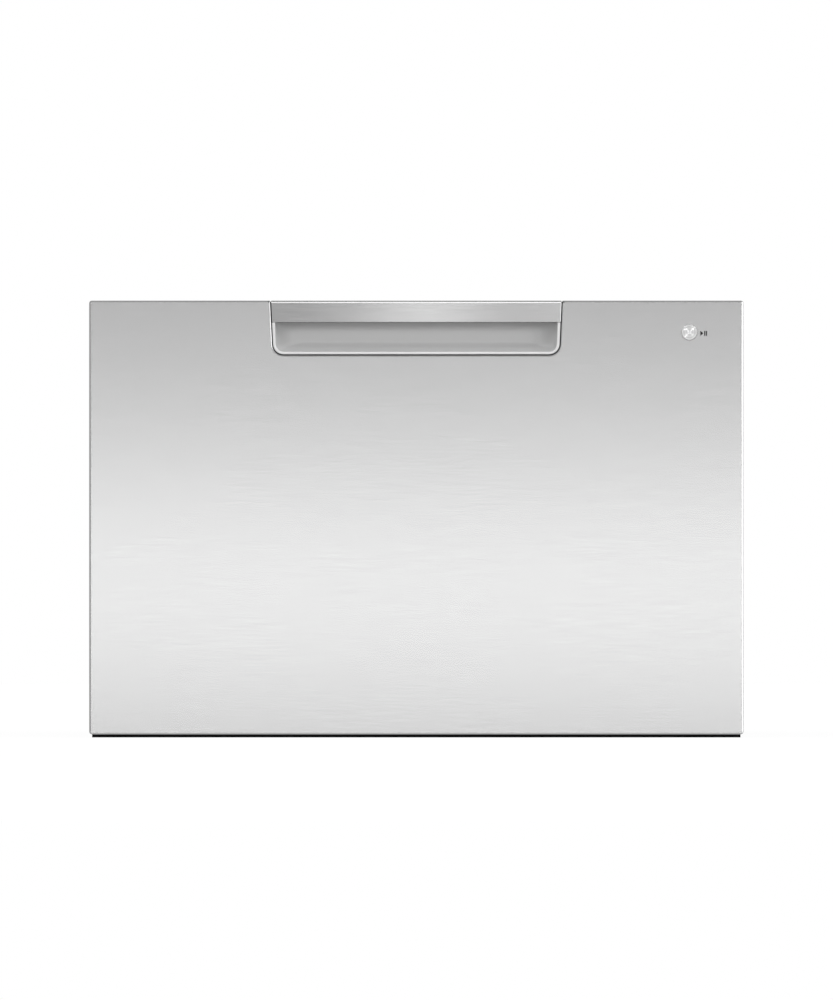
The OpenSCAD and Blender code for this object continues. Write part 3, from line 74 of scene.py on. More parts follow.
def startMaterial(name):
    material = bpy.data.materials.new(name)
    material.use_nodes = True
    material.node_tree.nodes.clear()
    return material, material.node_tree


def closeMaterial(material, shader):
    addNode(material.node_tree, "ShaderNodeOutputMaterial", links={"Surface": (shader, "BSDF")})
    return material


# the colour sockets of a mix node, and the factor that a wave texture puts on its own scale
colourA, colourB, colourOut = 6, 7, 2
waveFactor = 20
# turns the smear of a brushed finish across its lines
acrossLines = 0.25


def mixTones(tree, look, source, output, dark="dark"):
    tones = {"data_type": "RGBA", colourA: hexColour(look[dark]), colourB: hexColour(look["light"])}
    return addNode(tree, "ShaderNodeMix", tones, {0: (source, output)})


def varyRough(tree, low, high, source, output):
    return addNode(tree, "ShaderNodeMapRange", {"To Min": low, "To Max": high}, {"Value": (source, output)})


def raiseBump(tree, strength, height, source, output):
    return addNode(tree, "ShaderNodeBump", {"Strength": strength, "Distance": height * mm},
                   {"Height": (source, output)})


def brushedStainless(name, look):
    # 430 stainless sheet, belt-brushed in one direction: long fine lines, highlights smeared across them
    material, tree = startMaterial(name)
    place = addNode(tree, "ShaderNodeTexCoord")
    # real brush lines are about 0.1 mm apart; look["pitch"] is wider, so that they show in the picture
    along, across = 1 / (look["run"] * mm), 1 / (look["pitch"] * mm)
    lines = addNode(tree, "ShaderNodeMapping", {"Scale": (along, across, across)},
                    {"Vector": (place, "Object")})
    grain = addNode(tree, "ShaderNodeTexNoise", {"Scale": 1.0, "Detail": 3.0, "Roughness": 0.6},
                    {"Vector": (lines, "Vector")})
    tone = mixTones(tree, look, grain, "Fac")
    swing = 0.003
    rough = varyRough(tree, look["rough"] - swing, look["rough"] + swing, grain, "Fac")
    bump = raiseBump(tree, look["bump"], 0.02, grain, "Fac")
    tangent = addNode(tree, "ShaderNodeTangent", {"direction_type": "RADIAL", "axis": "Z"})
    shader = addNode(tree, "ShaderNodeBsdfPrincipled",
                     {"Metallic": 1.0, "Anisotropic": look["smear"], "Anisotropic Rotation": acrossLines},
                     {"Base Color": (tone, colourOut), "Roughness": (rough, "Result"),
                      "Normal": (bump, "Normal"), "Tangent": (tangent, "Tangent")})
    return closeMaterial(material, shader)


def turnedStainless(name, look):
    # stainless disc faced on a lathe: ring-shaped tool marks that throw a cross of highlights
    material, tree = startMaterial(name)
    place = addNode(tree, "ShaderNodeTexCoord")
    shift = addNode(tree, "ShaderNodeVectorMath", {"operation": "SUBTRACT", 1: look["centre"]},
                    {0: (place, "Object")})
    marks = addNode(tree, "ShaderNodeTexWave",
                    {"wave_type": "RINGS", "rings_direction": "Y",
                     "Scale": 1 / (look["marks"] * mm) / waveFactor, "Distortion": 0.6, "Detail": 2.0},
                    {"Vector": (shift, "Vector")})
    tone = mixTones(tree, look, marks, "Fac")
    bump = raiseBump(tree, 0.05, 0.01, marks, "Fac")
    tangent = addNode(tree, "ShaderNodeTangent", {"direction_type": "RADIAL", "axis": "Y"})
    # the rim outside the disc is polished, so it shines evenly all the way round
    radius = addNode(tree, "ShaderNodeVectorMath", {"operation": "LENGTH"}, {0: (shift, "Vector")})
    fade = 0.1
    smear = addNode(tree, "ShaderNodeMapRange",
                    {"From Min": (look["rim"] - fade) * mm, "From Max": (look["rim"] + fade) * mm,
                     "To Min": look["smear"], "To Max": 0.0}, {"Value": (radius, "Value")})
    shader = addNode(tree, "ShaderNodeBsdfPrincipled",
                     {"Metallic": 1.0, "Roughness": look["rough"], "Anisotropic Rotation": acrossLines},
                     {"Base Color": (tone, colourOut), "Anisotropic": (smear, "Result"),
                      "Normal": (bump, "Normal"), "Tangent": (tangent, "Tangent")})
    return closeMaterial(material, shader)


def galvanisedSheet(name, look):
    # hot-dip galvanised steel: matt grey metal with zinc crystals about 8 mm across, in clouds of 55 mm
    material, tree = startMaterial(name)
    place = addNode(tree, "ShaderNodeTexCoord")
    crystals = addNode(tree, "ShaderNodeTexVoronoi",
                       {"Scale": 1 / (look["crystal"] * mm), "Randomness": 1.0},
                       {"Vector": (place, "Object")})
    level = addNode(tree, "ShaderNodeSeparateColor", links={0: (crystals, "Color")})
    cloud = addNode(tree, "ShaderNodeTexNoise", {"Scale": 18.0, "Detail": 4.0},
                    {"Vector": (place, "Object")})
    blend = addNode(tree, "ShaderNodeMath", {"operation": "MULTIPLY"}, {0: (level, 0), 1: (cloud, "Fac")})
    tone = mixTones(tree, look, blend, 0)
    rough = varyRough(tree, *look["rough"], level, 1)
    shader = addNode(tree, "ShaderNodeBsdfPrincipled", {"Metallic": 1.0},
                     {"Base Color": (tone, colourOut), "Roughness": (rough, "Result")})
    return closeMaterial(material, shader)


def platedSteel(name, look):
    # rolled or pressed steel with a thin bright plating: even colour, a little mottled
    material, tree = startMaterial(name)
    place = addNode(tree, "ShaderNodeTexCoord")
    mottle = addNode(tree, "ShaderNodeTexNoise", {"Scale": 1 / (look["mottle"] * mm), "Detail": 5.0},
                     {"Vector": (place, "Object")})
    tone = mixTones(tree, look, mottle, "Fac")
    swing = 0.06
    rough = varyRough(tree, look["rough"] - swing, look["rough"] + swing, mottle, "Fac")
    shader = addNode(tree, "ShaderNodeBsdfPrincipled", {"Metallic": 1.0},
                     {"Base Color": (tone, colourOut), "Roughness": (rough, "Result")})
    return closeMaterial(material, shader)


def mouldedPlastic(name, look):
    # injection-moulded plastic with a spark-eroded grain: soft sheen, fine dull texture, patches of 110 mm
    material, tree = startMaterial(name)
    place = addNode(tree, "ShaderNodeTexCoord")
    grain = addNode(tree, "ShaderNodeTexNoise", {"Scale": 1 / (look["grain"] * mm), "Detail": 2.0},
                    {"Vector": (place, "Object")})
    patch = addNode(tree, "ShaderNodeTexNoise", {"Scale": 9.0, "Detail": 3.0},
                    {"Vector": (place, "Object")})
    tone = mixTones(tree, look, patch, "Fac")
    swing = 0.04
    rough = varyRough(tree, look["rough"] - swing, look["rough"] + swing, patch, "Fac")
    bump = raiseBump(tree, look["bump"], 0.05, grain, "Fac")
    shader = addNode(tree, "ShaderNodeBsdfPrincipled",
                     {"IOR": look["ior"], "Specular IOR Level": look.get("specular", 0.5)},
                     {"Base Color": (tone, colourOut), "Roughness": (rough, "Result"),
                      "Normal": (bump, "Normal")})
    return closeMaterial(material, shader)


def perforatedSheet(name, look):
    # stainless sheet punched with fine holes, for straining the wash water
    material, tree = startMaterial(name)
    place = addNode(tree, "ShaderNodeTexCoord")
    flat = addNode(tree, "ShaderNodeMapping", {"Scale": (1, 1, 0)}, {"Vector": (place, "Object")})
    holes = addNode(tree, "ShaderNodeTexVoronoi",
                    {"Scale": 1 / (look["spacing"] * mm), "Randomness": 0.0}, {"Vector": (flat, "Vector")})
    inside, outside = look["holeEdge"]
    mask = addNode(tree, "ShaderNodeMapRange", {"From Min": inside, "From Max": outside},
                   {"Value": (holes, "Distance")})
    tone = mixTones(tree, look, mask, "Result", "hole")
    bump = raiseBump(tree, 0.3, 0.3, mask, "Result")
    shader = addNode(tree, "ShaderNodeBsdfPrincipled", {"Metallic": 1.0, "Roughness": 0.34},
                     {"Base Color": (tone, colourOut), "Normal": (bump, "Normal")})
    return closeMaterial(material, shader)


def windings(name, look):
    # enamelled copper wire, 0.5 mm, in layers: half a turn of the wave to a wire
    material, tree = startMaterial(name)
    place = addNode(tree, "ShaderNodeTexCoord")
    halfTurn = 3.14
    turns = addNode(tree, "ShaderNodeTexWave",
                    {"bands_direction": "Z", "Scale": 1 / (look["wire"] * mm) / waveFactor * halfTurn,
                     "Distortion": 0.4}, {"Vector": (place, "Object")})
    tone = mixTones(tree, look, turns, "Fac")
    bump = raiseBump(tree, 0.6, 0.2, turns, "Fac")
    shader = addNode(tree, "ShaderNodeBsdfPrincipled", {"Metallic": 0.9, "Roughness": 0.35},
                     {"Base Color": (tone, colourOut), "Normal": (bump, "Normal")})
    return closeMaterial(material, shader)


# lengths in mm; marks is how far the ring marks run for one radian of their wave
finishes = {
    "frontSteel": brushedStainless("stainlessSheetHorizontalBrushed", dict(
        dark="#ACACAC", light="#B7B7B7", rough=0.27, smear=0.7, pitch=1.4, run=26, bump=0.003)),
    "barSteel": brushedStainless("stainlessBarSatinBrushed", dict(
        dark="#AAAAAA", light="#BCBCBC", rough=0.25, smear=0.2, pitch=1.8, run=30, bump=0.01)),
    "scoopPlastic": mouldedPlastic("absMouldedSilverPainted", dict(
        dark="#B4B4B4", light="#B8B8B8", rough=0.45, grain=0.4, bump=0.05, ior=1.5)),
    "buttonSteel": turnedStainless("stainlessDiscTurned", dict(
        dark="#C4C4C4", light="#D6D6D6", rough=0.3, smear=0.85, marks=0.4, rim=5.6,
        centre=(0.250, -0.2865, 0.371))),
    "panelZinc": galvanisedSheet("galvanisedSheetSpangled", dict(
        dark="#A3A6A8", light="#CDD0D2", rough=(0.38, 0.55), crystal=8)),
    "partZinc": platedSteel("zincPlatedSteelBright", dict(
        dark="#A3A7AC", light="#BCC0C4", rough=0.3, mottle=6)),
    "ballSteel": platedSteel("bearingSteelPolished", dict(
        dark="#B4B6BA", light="#CACCD0", rough=0.14, mottle=3)),
    "blackRubber": mouldedPlastic("epdmRubberBlack", dict(
        dark="#050505", light="#080808", rough=0.8, grain=0.4, bump=0.1, ior=1.5, specular=0.2)),
    "greyRubber": mouldedPlastic("siliconeRubberGrey", dict(
        dark="#5C5F61", light="#6A6D6F", rough=0.6, grain=0.5, bump=0.15, ior=1.43)),
    "blackPlastic": mouldedPlastic("absMouldedBlack", dict(
        dark="#161718", light="#1D1E20", rough=0.5, grain=0.5, bump=0.25, ior=1.54)),
    "blackGloss": mouldedPlastic("acrylicGlossBlack", dict(
        dark="#050506", light="#08080A", rough=0.1, grain=3, bump=0.0, ior=1.49)),
    "tubPlastic": mouldedPlastic("polypropyleneMouldedLightGrey", dict(
        dark="#BFC2C3", light="#C8CBCC", rough=0.42, grain=0.6, bump=0.15, ior=1.49)),
    "greyPlastic": mouldedPlastic("polypropyleneMouldedMidGrey", dict(
        dark="#7D8184", light="#878B8E", rough=0.46, grain=0.5, bump=0.2, ior=1.49)),
    "lightPlastic": mouldedPlastic("polypropyleneMouldedPaleGrey", dict(
        dark="#D3D6D8", light="#DBDEE0", rough=0.4, grain=0.5, bump=0.15, ior=1.49)),
    "strainerSteel": perforatedSheet("stainlessSheetPerforated", dict(
        hole="#2A2A2A", light="#B9B9B9", spacing=4, holeEdge=(0.24, 0.32))),
    "rackNylon": mouldedPlastic("nylonDippedWireGrey", dict(
        dark="#83878B", light="#8D9195", rough=0.36, grain=0.8, bump=0.2, ior=1.53)),
    "copper": windings("copperWindingEnamelled", dict(dark="#8A4A24", light="#C77A45", wire=0.5)),
    "printInk": mouldedPlastic("screenPrintInkBlack", dict(
        dark="#060606", light="#080808", rough=0.7, grain=0.3, bump=0.0, ior=1.5)),
}
slotFinish = {
    "brushed_steel": "frontSteel", "steel_trim": "barSteel", "silver_plastic": "scoopPlastic",
    "button_steel": "buttonSteel", "zinc_sheet": "panelZinc", "zinc_parts": "partZinc",
    "balls": "ballSteel", "black_rubber": "blackRubber", "grey_rubber": "greyRubber",
    "black_plastic": "blackPlastic", "black_gloss": "blackGloss", "tub_plastic": "tubPlastic",
    "grey_plastic": "greyPlastic", "light_plastic": "lightPlastic", "stainless_plate": "strainerSteel",
    "rack_coating": "rackNylon", "copper_winding": "copper",
}
slotOf = {part["node"]: part["material_slot"] for part in frame["record"]["subparts"]}
for name, solid in cadNodes.items():
    solid.data.materials.clear()
    solid.data.materials.append(finishes[slotFinish[slotOf[name]]])
print("finishes:", len(finishes))


def smoothMesh(mesh, sharp):
    mesh.polygons.foreach_set("use_smooth", [True] * len(mesh.polygons))
    mesh.set_sharp_from_angle(angle=math.radians(sharp))


def weightNormals(piece):
    # large flat faces decide the shading, so that the small rounds beside them don't tint them
    modifier = piece.modifiers.new("weighted", "WEIGHTED_NORMAL")
    modifier.keep_sharp = True
    modifier.weight = 50


def addPiece(name, vertices, faces, finish, body, slot, replaced=(), sharp=35):
    mesh = bpy.data.meshes.new(name)
    mesh.from_pydata([Vector(v) * mm for v in vertices], [], faces)
    bm = bmesh.new()
    bm.from_mesh(mesh)
    bmesh.ops.recalc_face_normals(bm, faces=bm.faces)
    bm.to_mesh(mesh)
    bm.free()
    smoothMesh(mesh, sharp)
    mesh.materials.append(finishes[finish])
    piece = bpy.data.objects.new(name, mesh)
    bpy.context.scene.collection.objects.link(piece)
    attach(piece, body)
    if replaced:
        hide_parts(*replaced)
    weightNormals(piece)
    return piece


def loft(rings, capStart=True, capEnd=True):
    # closed rings with the same number of points, joined by quads
    count = len(rings[0])
    vertices = [p for ring in rings for p in ring]
    faces = []
    for r in range(len(rings) - 1):
        near, far = r * count, (r + 1) * count
        for i in range(count):
            j = (i + 1) % count
            faces.append([near + i, near + j, far + j, far + i])
    if capStart:
        faces.append(list(reversed(range(count))))
    if capEnd:
        faces.append([(len(rings) - 1) * count + i for i in range(count)])
    return vertices, faces


def joinParts(parts):
    vertices, faces = [], []
    for v, f in parts:
        faces += [[len(vertices) + i for i in face] for face in f]
        vertices += v
    return vertices, faces


def circle(count):
    return [(math.cos(turn * k / count), math.sin(turn * k / count)) for k in range(count)]


def filletPath(corners, steps=6, closed=True):
    # corners are (point, radius); each gives steps + 1 points, so paths with equal counts can be lofted
    noRadius, nearlyStraight = 1e-6, 1e-4
    path, count = [], len(corners)
    for i, (point, radius) in enumerate(corners):
        p = Vector(point)
        if not closed and i in (0, count - 1):
            path.append(p)
            continue
        a, b = Vector(corners[i - 1][0]) - p, Vector(corners[(i + 1) % count][0]) - p
        a.normalize(), b.normalize()
        half = a.angle(b) / 2
        if radius < noRadius or half > math.pi / 2 - nearlyStraight:
            path += [p.copy() for _ in range(steps + 1)] if radius >= noRadius else [p]
            continue
        reach = radius / math.tan(half)
        centre = p + (a + b).normalized() * (radius / math.sin(half))
        u, w = (p + a * reach - centre), (p + b * reach - centre)
        sweep = u.angle(w)
        for k in range(steps + 1):
            t = k / steps
            arc = u * math.sin((1 - t) * sweep) + w * math.sin(t * sweep)
            path.append(centre + arc / math.sin(sweep))
    return path


def tube(path, radius, sides=10, closed=False, tips=False):
    # round wire along a path, with domed ends where tips is set
    points = [Vector(p) for p in path]
    count = len(points)
    frames, normal = [], None
    for i, p in enumerate(points):
        before = points[i - 1] if (i or closed) else None
        after = points[(i + 1) % count] if (i < count - 1 or closed) else None
        way = ((after - p).normalized() if after is not None else Vector()) + \
              ((p - before).normalized() if before is not None else Vector())
        way.normalize()
        if normal is None:
            normal = way.orthogonal().normalized()
        normal = (normal - way * normal.dot(way)).normalized()
        frames.append((p, normal.copy(), way.cross(normal), way))

    def ringAt(p, n, s, r):
        return [p + (n * c + s * d) * r for c, d in circle(sides)]
    loops = [ringAt(p, n, s, radius) for p, n, s, w in frames]
    if tips:
        for at, sign in ((0, -1), (-1, 1)):
            p, n, s, w = frames[at]
            dome = [ringAt(p + w * sign * radius * math.sin(rise), n, s, radius * math.cos(rise))
                    for rise in (0.5, 1.0, 1.4)]
            loops = (dome[::-1] + loops) if at == 0 else (loops + dome)
    if closed:
        loops.append(loops[0])
        return loft(loops, False, False)
    return loft(loops)


def lathe(profile, centre, axis, steps=48):
    # profile is (radius, distance along the axis); a radius of 0 closes an end
    smallest = 1e-4
    axis = Vector(axis)
    n = axis.orthogonal().normalized()
    s = axis.cross(n)
    rings = [[Vector(centre) + axis * d + (n * c + s * e) * max(r, smallest) for c, e in circle(steps)]
             for r, d in profile]
    return loft(rings)


def ringBlock(x, y, z, bevel=0.6):
    # box between two planes on each axis, with bevelled edges
    rings, e = [], bevel
    for inset, level in ((e, z[0]), (0, z[0] + e), (0, z[1] - e), (e, z[1])):
        a, b, c, d = x[0] + inset, x[1] - inset, y[0] + inset, y[1] - inset
        outline = ((a + e, c), (b - e, c), (b, c + e), (b, d - e),
                   (b - e, d), (a + e, d), (a, d - e), (a, c + e))
        rings.append([Vector((px, py, level)) for px, py in outline])
    return loft(rings)


frontLow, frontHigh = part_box("front_panel")
faceY, baseZ = frontLow.y / mm, frontLow.z / mm
topZ, halfW = frontHigh.z / mm, frontHigh.x / mm
frontDeep = frontHigh.y / mm - faceY

recess = dict(halfWidth=132.0, depth=50.0, radius=10.5, lean=2.5, gap=0.8)


def recessWidth(z, inset=0.0):
    # half width of the recess at the height z, along its leaning side, which starts at the lower arc
    lean = math.radians(recess["lean"])
    tangentX = recess["halfWidth"] - recess["radius"] * (1 - math.cos(lean))
    tangentZ = topZ - recess["depth"] + recess["radius"] * (1 - math.sin(lean))
    return tangentX + math.tan(lean) * (z - tangentZ) - inset / math.cos(lean)


def cutOpening(piece, low, high, clearance):
    # pocket through the top sheet for a part that lies in it
    c, reach = clearance * mm, 3 * mm
    mesh = bpy.data.meshes.new("cutter")
    corners = [(x, y, z) for x in (low.x - c, high.x + c) for y in (low.y - c, high.y + c)
               for z in (high.z - reach, high.z + reach)]
    mesh.from_pydata(corners, [], [(0, 1, 3, 2), (4, 6, 7, 5), (0, 4, 5, 1),
                                   (2, 3, 7, 6), (0, 2, 6, 4), (1, 5, 7, 3)])
    cutter = bpy.data.objects.new("cutter", mesh)
    bpy.context.scene.collection.objects.link(cutter)
    cut = piece.modifiers.new("pocket", "BOOLEAN")
    cut.operation, cut.solver, cut.object = "DIFFERENCE", "EXACT", cutter
    bpy.context.view_layer.update()
    shaped = bpy.data.meshes.new_from_object(piece.evaluated_get(bpy.context.evaluated_depsgraph_get()))
    piece.modifiers.clear()
    piece.data = shaped
    bpy.data.objects.remove(cutter)


# hem is the edge of the returns, relief the plain strip beside the recess, holeEdge (extra radius, depth)
skin = dict(fold=2.0, topFold=1.3, roll=1.2, sheet=1.0, corner=2.5, mouthCorner=0.4, relief=1.8, back=0.05,
            recessReturn=8.0, hem=0.25, flatStart=0.5, innerFold=0.6, innerHem=0.4, stripGap=0.3,
            buttonX=250.0, buttonDrop=29.0, buttonHole=7.08,
            holeEdge=((0.4, 0.0), (0.25, 0.0), (0.08, 0.06), (0.0, 0.25)))


def skinCorners():
    # place, corner radius, radius of the rolled edge and depth of the return
    floorZ = topZ - recess["depth"]
    wideTop, wideLow = recessWidth(topZ), recessWidth(floorZ)
    outer, plain = (skin["corner"], skin["topFold"], frontDeep), (0, skin["topFold"], frontDeep)
    mouth = (skin["mouthCorner"], skin["roll"], skin["recessReturn"])
    low = (recess["radius"], skin["roll"], skin["recessReturn"])
    return [(-halfW, baseZ, *outer), (halfW, baseZ, *outer), (halfW, topZ, *outer),
            (wideTop + skin["relief"], topZ, *plain), (wideTop, topZ, *mouth), (wideLow, floorZ, *low),
            (-wideLow, floorZ, *low), (-wideTop, topZ, *mouth), (-wideTop - skin["relief"], topZ, *plain),
            (-halfW, topZ, *outer)]


def skinRings():
    arcSteps, foldSteps, sheet = 8, 6, skin["sheet"]
    corners = skinCorners()
    path = filletPath([((x, z), radius) for x, z, radius, _, _ in corners], arcSteps)
    facts = []
    for i, (x, _, radius, roll, deep) in enumerate(corners):
        # the sides have the wider fold, and it blends into the others round the corner
        sideRoll = skin["fold"] if abs(x) == halfW else roll
        first, last = (sideRoll, roll) if i in (0, 2) else (roll, sideRoll)
        facts += [(first + (last - first) * k / arcSteps, deep) for k in range(arcSteps + 1)] \
            if radius else [(roll, deep)]
    inward = []
    for i, p in enumerate(path):
        a, b = (p - path[i - 1]).normalized(), (path[(i + 1) % len(path)] - p).normalized()
        n = Vector((-a.y - b.y, a.x + b.x))
        inward.append(n / max(n.length_squared / 2, 0.5))

    def ring(spot):
        # spot gives the inset and the depth of a point from its roll radius and the depth of its return
        loop = []
        for p, n, (roll, deep) in zip(path, inward, facts):
            inset, depth = spot(roll, deep)
            loop.append(Vector((p.x + n.x * inset, faceY + skin["back"] + depth, p.y + n.y * inset)))
        return loop
    rings = [ring(lambda roll, deep: (roll + skin["flatStart"], 0.0))]
    for k in range(foldSteps + 1):
        angle = k * math.pi / (2 * foldSteps)
        rings.append(ring(lambda roll, deep: (roll * (1 - math.sin(angle)), roll * (1 - math.cos(angle)))))
    hem = skin["hem"]
    for spot in (lambda roll, deep: (0.0, deep - hem), lambda roll, deep: (hem, deep),
                 lambda roll, deep: (sheet, deep), lambda roll, deep: (sheet, roll + skin["innerHem"]),
                 lambda roll, deep: (roll + skin["innerFold"], sheet)):
        rings.append(ring(spot))
    return rings


def makeSkin():
    rings, holeSteps = skinRings(), 40
    count = len(rings[0])
    vertices, faces = loft(rings, False, False)
    hole = []
    for extra, depth in skin["holeEdge"] + ((0.0, skin["sheet"]),):
        radius = skin["buttonHole"] + extra
        hole.append([Vector((skin["buttonX"] + radius * c, faceY + skin["back"] + depth,
                             topZ - skin["buttonDrop"] + radius * s)) for c, s in circle(holeSteps)])
    piece = addPiece("frontSkin", *joinParts([(vertices, faces), loft(hole, False, False)]), "frontSteel",
                     "drawer", "brushed_steel", ["front_panel"])
    # flat faces: the outline and the button hole are filled together, at the front and behind
    bm = bmesh.new()
    bm.from_mesh(piece.data)
    bm.verts.ensure_lookup_table()
    front, behind = 0, (len(rings) - 1) * count
    holeFront, holeBehind = len(vertices), len(vertices) + (len(hole) - 1) * holeSteps
    for outer, inner in ((front, holeFront), (behind, holeBehind)):
        loops = [[bm.verts[outer + i] for i in range(count)],
                 [bm.verts[inner + i] for i in range(holeSteps)]]
        edges = [bm.edges.get((loop[i - 1], loop[i])) for loop in loops for i in range(len(loop))]
        bmesh.ops.triangle_fill(bm, use_beauty=True, use_dissolve=False, edges=edges)
    bmesh.ops.recalc_face_normals(bm, faces=bm.faces)
    bm.to_mesh(piece.data)
    bm.free()
    cutOpening(piece, *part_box("control_strip"), skin["stripGap"])
    smoothMesh(piece.data, 35)


makeSkin()

# facet is how far below the top edge the leaning facet ends and starts; edges are the section's radii
bar = dict(height=19.8, thick=5.0, top=2.5, facet=(1.25, 2.15), ridge=0.8, endRound=0.3,
           edges=(0.5, 0.4, 0.3, 0.3, 0.5, 0.4, 1.2, 0.8))


def makeBar():
    y0, y1, z1, z0 = faceY, faceY + frontDeep, topZ, topZ - bar["height"]
    thick, plate = bar["thick"], bar["top"]
    upper, lower = bar["facet"]

    def section(inset, lean):
        points = [(y0 + inset, z0 + inset), (y0 + inset, z1 - lower), (y0 + lean + inset, z1 - upper),
                  (y0 + lean + bar["ridge"], z1 - inset), (y1 - inset, z1 - inset),
                  (y1 - inset, z1 - plate + inset), (y0 + thick - inset, z1 - plate + inset),
                  (y0 + thick - inset, z0 + inset)]
        return filletPath(list(zip(points, bar["edges"])))
    # towards its ends the section shrinks and the lean of its facet fades out
    e = bar["endRound"]
    stages = ((e, 0), (e * 0.3, e * 0.3), (0, e))
    rings = []
    for side, order in ((-1, stages), (1, stages[::-1])):
        for inset, back in order:
            rings.append([Vector((side * (recessWidth(q.y, recess["gap"]) - back), q.x, q.y))
                          for q in section(inset, back)])
    addPiece("handleBar", *loft(rings), "barSteel", "drawer", "steel_trim", ["handle_bar"], sharp=15)


makeBar()

# from the lip's outer line, outerEdge is (inset, depth); from its inner line, innerEdge is (side inset,
# floor inset, depth)
scoop = dict(lip=2.4, lipDepth=0.5, deep=28.0, wall=30.0, sideCurve=22.0, floorCurve=9.0, flange=4.0,
             flangeThick=2.0, clear=0.2, seat=0.1, topDrop=12.0, pocketDrop=2.0, curveSteps=12,
             outerEdge=((0.0, 0.5), (0.15, 0.15), (0.5, 0.0)),
             innerEdge=((-0.5, -0.8, 0.0), (0.1, -0.2, 0.25), (0.5, 0.2, 0.9)))


def makeScoop():
    g, floorZ = recess["gap"], topZ - recess["depth"]
    underBar, behindBar = topZ - bar["height"] - scoop["clear"], topZ - scoop["topDrop"]
    barBack, lipDepth, seat = bar["thick"] + scoop["clear"], scoop["lipDepth"], scoop["seat"]
    lipEnd, out = g + scoop["lip"], -scoop["flange"]
    smallestCorner, mouthCorner = 3.0, 0.4

    def ring(inX, inZ, depth, top):
        low = floorZ + inZ
        r = max(recess["radius"] - min(inX, inZ), smallestCorner)
        lowX, topX = recessWidth(low, inX), recessWidth(top, inX)
        outline = [((-lowX, low), r), ((lowX, low), r),
                   ((topX, top), mouthCorner), ((-topX, top), mouthCorner)]
        return [Vector((q.x, faceY + depth, q.y)) for q in filletPath(outline, 8)]
    outside = [(g, scoop["wall"], behindBar), (g, frontDeep + scoop["flangeThick"], behindBar),
               (out, frontDeep + scoop["flangeThick"], behindBar), (out, frontDeep + seat, behindBar),
               (g, frontDeep + seat, behindBar), (g, barBack, behindBar), (g, barBack - seat, underBar)]
    outside += [(g + inset, lipDepth + depth, underBar) for inset, depth in scoop["outerEdge"]]
    rings = [ring(inset, inset, depth, top) for inset, depth, top in outside]
    for inX, inZ, depth in scoop["innerEdge"]:
        rings.append(ring(lipEnd + inX, lipEnd + inZ, lipDepth + depth, underBar))
    # from the lip a quarter of an ellipse leads to the back of the pocket
    startX, startZ, startDepth = scoop["innerEdge"][-1]
    startDepth += lipDepth
    for k in range(1, scoop["curveSteps"] + 1):
        angle = k / scoop["curveSteps"] * math.pi / 2
        depth = startDepth + (scoop["deep"] - startDepth) * math.sin(angle)
        inX = lipEnd + startX + scoop["sideCurve"] * (1 - math.cos(angle))
        inZ = lipEnd + startZ + scoop["floorCurve"] * (1 - math.cos(angle))
        top = underBar if depth < barBack else behindBar - scoop["pocketDrop"]
        rings.append(ring(inX, inZ, depth, top))
    addPiece("fingerScoop", *loft(rings), "scoopPlastic", "drawer", "silver_plastic", ["handle_scoop"],
             sharp=50)


makeScoop()

# groove is (distance outside the disc, depth), rim (distance inside the edge, depth)
button = dict(radius=6.9, disc=5.2, sunk=0.12, body=4.0, stem=3.0, length=9.0,
              groove=((0.2, 0.16), (0.3, 0.24), (0.45, 0.12), (0.6, 0.02)),
              rim=((0.25, 0.0), (0.08, 0.05), (0.0, 0.2)))


def makeButton():
    r, d, b = button["radius"], button["disc"], button
    profile = [(0, b["sunk"]), (d * 0.5, b["sunk"]), (d, b["sunk"])]
    profile += [(d + off, depth) for off, depth in b["groove"]]
    profile += [(r - off, depth) for off, depth in b["rim"]]
    profile += [(r, b["body"]), (b["stem"], b["body"]), (b["stem"], b["length"]), (0, b["length"])]
    centre = (skin["buttonX"], faceY, topZ - skin["buttonDrop"])
    addPiece("startButton", *lathe(profile, centre, (0, 1, 0), 64), "buttonSteel", "start_button",
             "button_steel", ["start_button"], sharp=40)


makeButton()

playMark = dict(left=259.9, triangle=2.9, bar=1.05, barGap=0.6, space=0.7, height=4.6, z=370.1, ink=0.02)


def makePlayMark():
    m = playMark
    low, high = m["z"] - m["height"] / 2, m["z"] + m["height"] / 2
    y0, y1 = faceY, faceY + skin["back"] + m["ink"]
    tip = m["left"] + m["triangle"]
    shapes = [[(m["left"], low), (tip, m["z"]), (m["left"], high)]]
    for k in range(2):
        a = tip + m["space"] + k * (m["bar"] + m["barGap"])
        shapes.append([(a, low), (a + m["bar"], low), (a + m["bar"], high), (a, high)])
    parts = [loft([[Vector((x, y, z)) for x, z in shape] for y in (y0, y1)]) for shape in shapes]
    addPiece("playMark", *joinParts(parts), "printInk", "drawer", "black_plastic")


makePlayMark()
print("front made")

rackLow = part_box("rack")[0] / mm
combLow, combHigh = (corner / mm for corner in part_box("tine_comb_right"))
cupLow, cupHigh = (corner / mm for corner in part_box("cup_rack_right"))
# wire radii, bends, counts and margins; the planes come from the solids' boxes
wires = dict(heavy=2.5, light=2.0, bend=9.0, rimBend=12, clip=8.0, clipHalf=4, bays=8, tines=10,
             tineMargin=14, collar=2, collarExtra=1, cupRibs=7, feet=rackLow.z,
             halfX=232.0, y0=-215.0, y1=187.0, floor=112.5, cross=116.0, rim=205.5, fixedX=142.0,
             tineTop=combHigh.z - 2, combX=50.0, combZ=combLow.z + 3.0,
             combY=(combLow.y + 8.0, combHigh.y - 8.0), cupX=cupHigh.x - 3.0, cupZ=cupLow.z + 3.0,
             cupY=(cupLow.y + 8.0, cupHigh.y - 8.0), cupReach=100.0, cupRails=(1.0, 0.55), cupEdge=16.0,
             cupBend=6, railMargin=8, ribMargin=10)


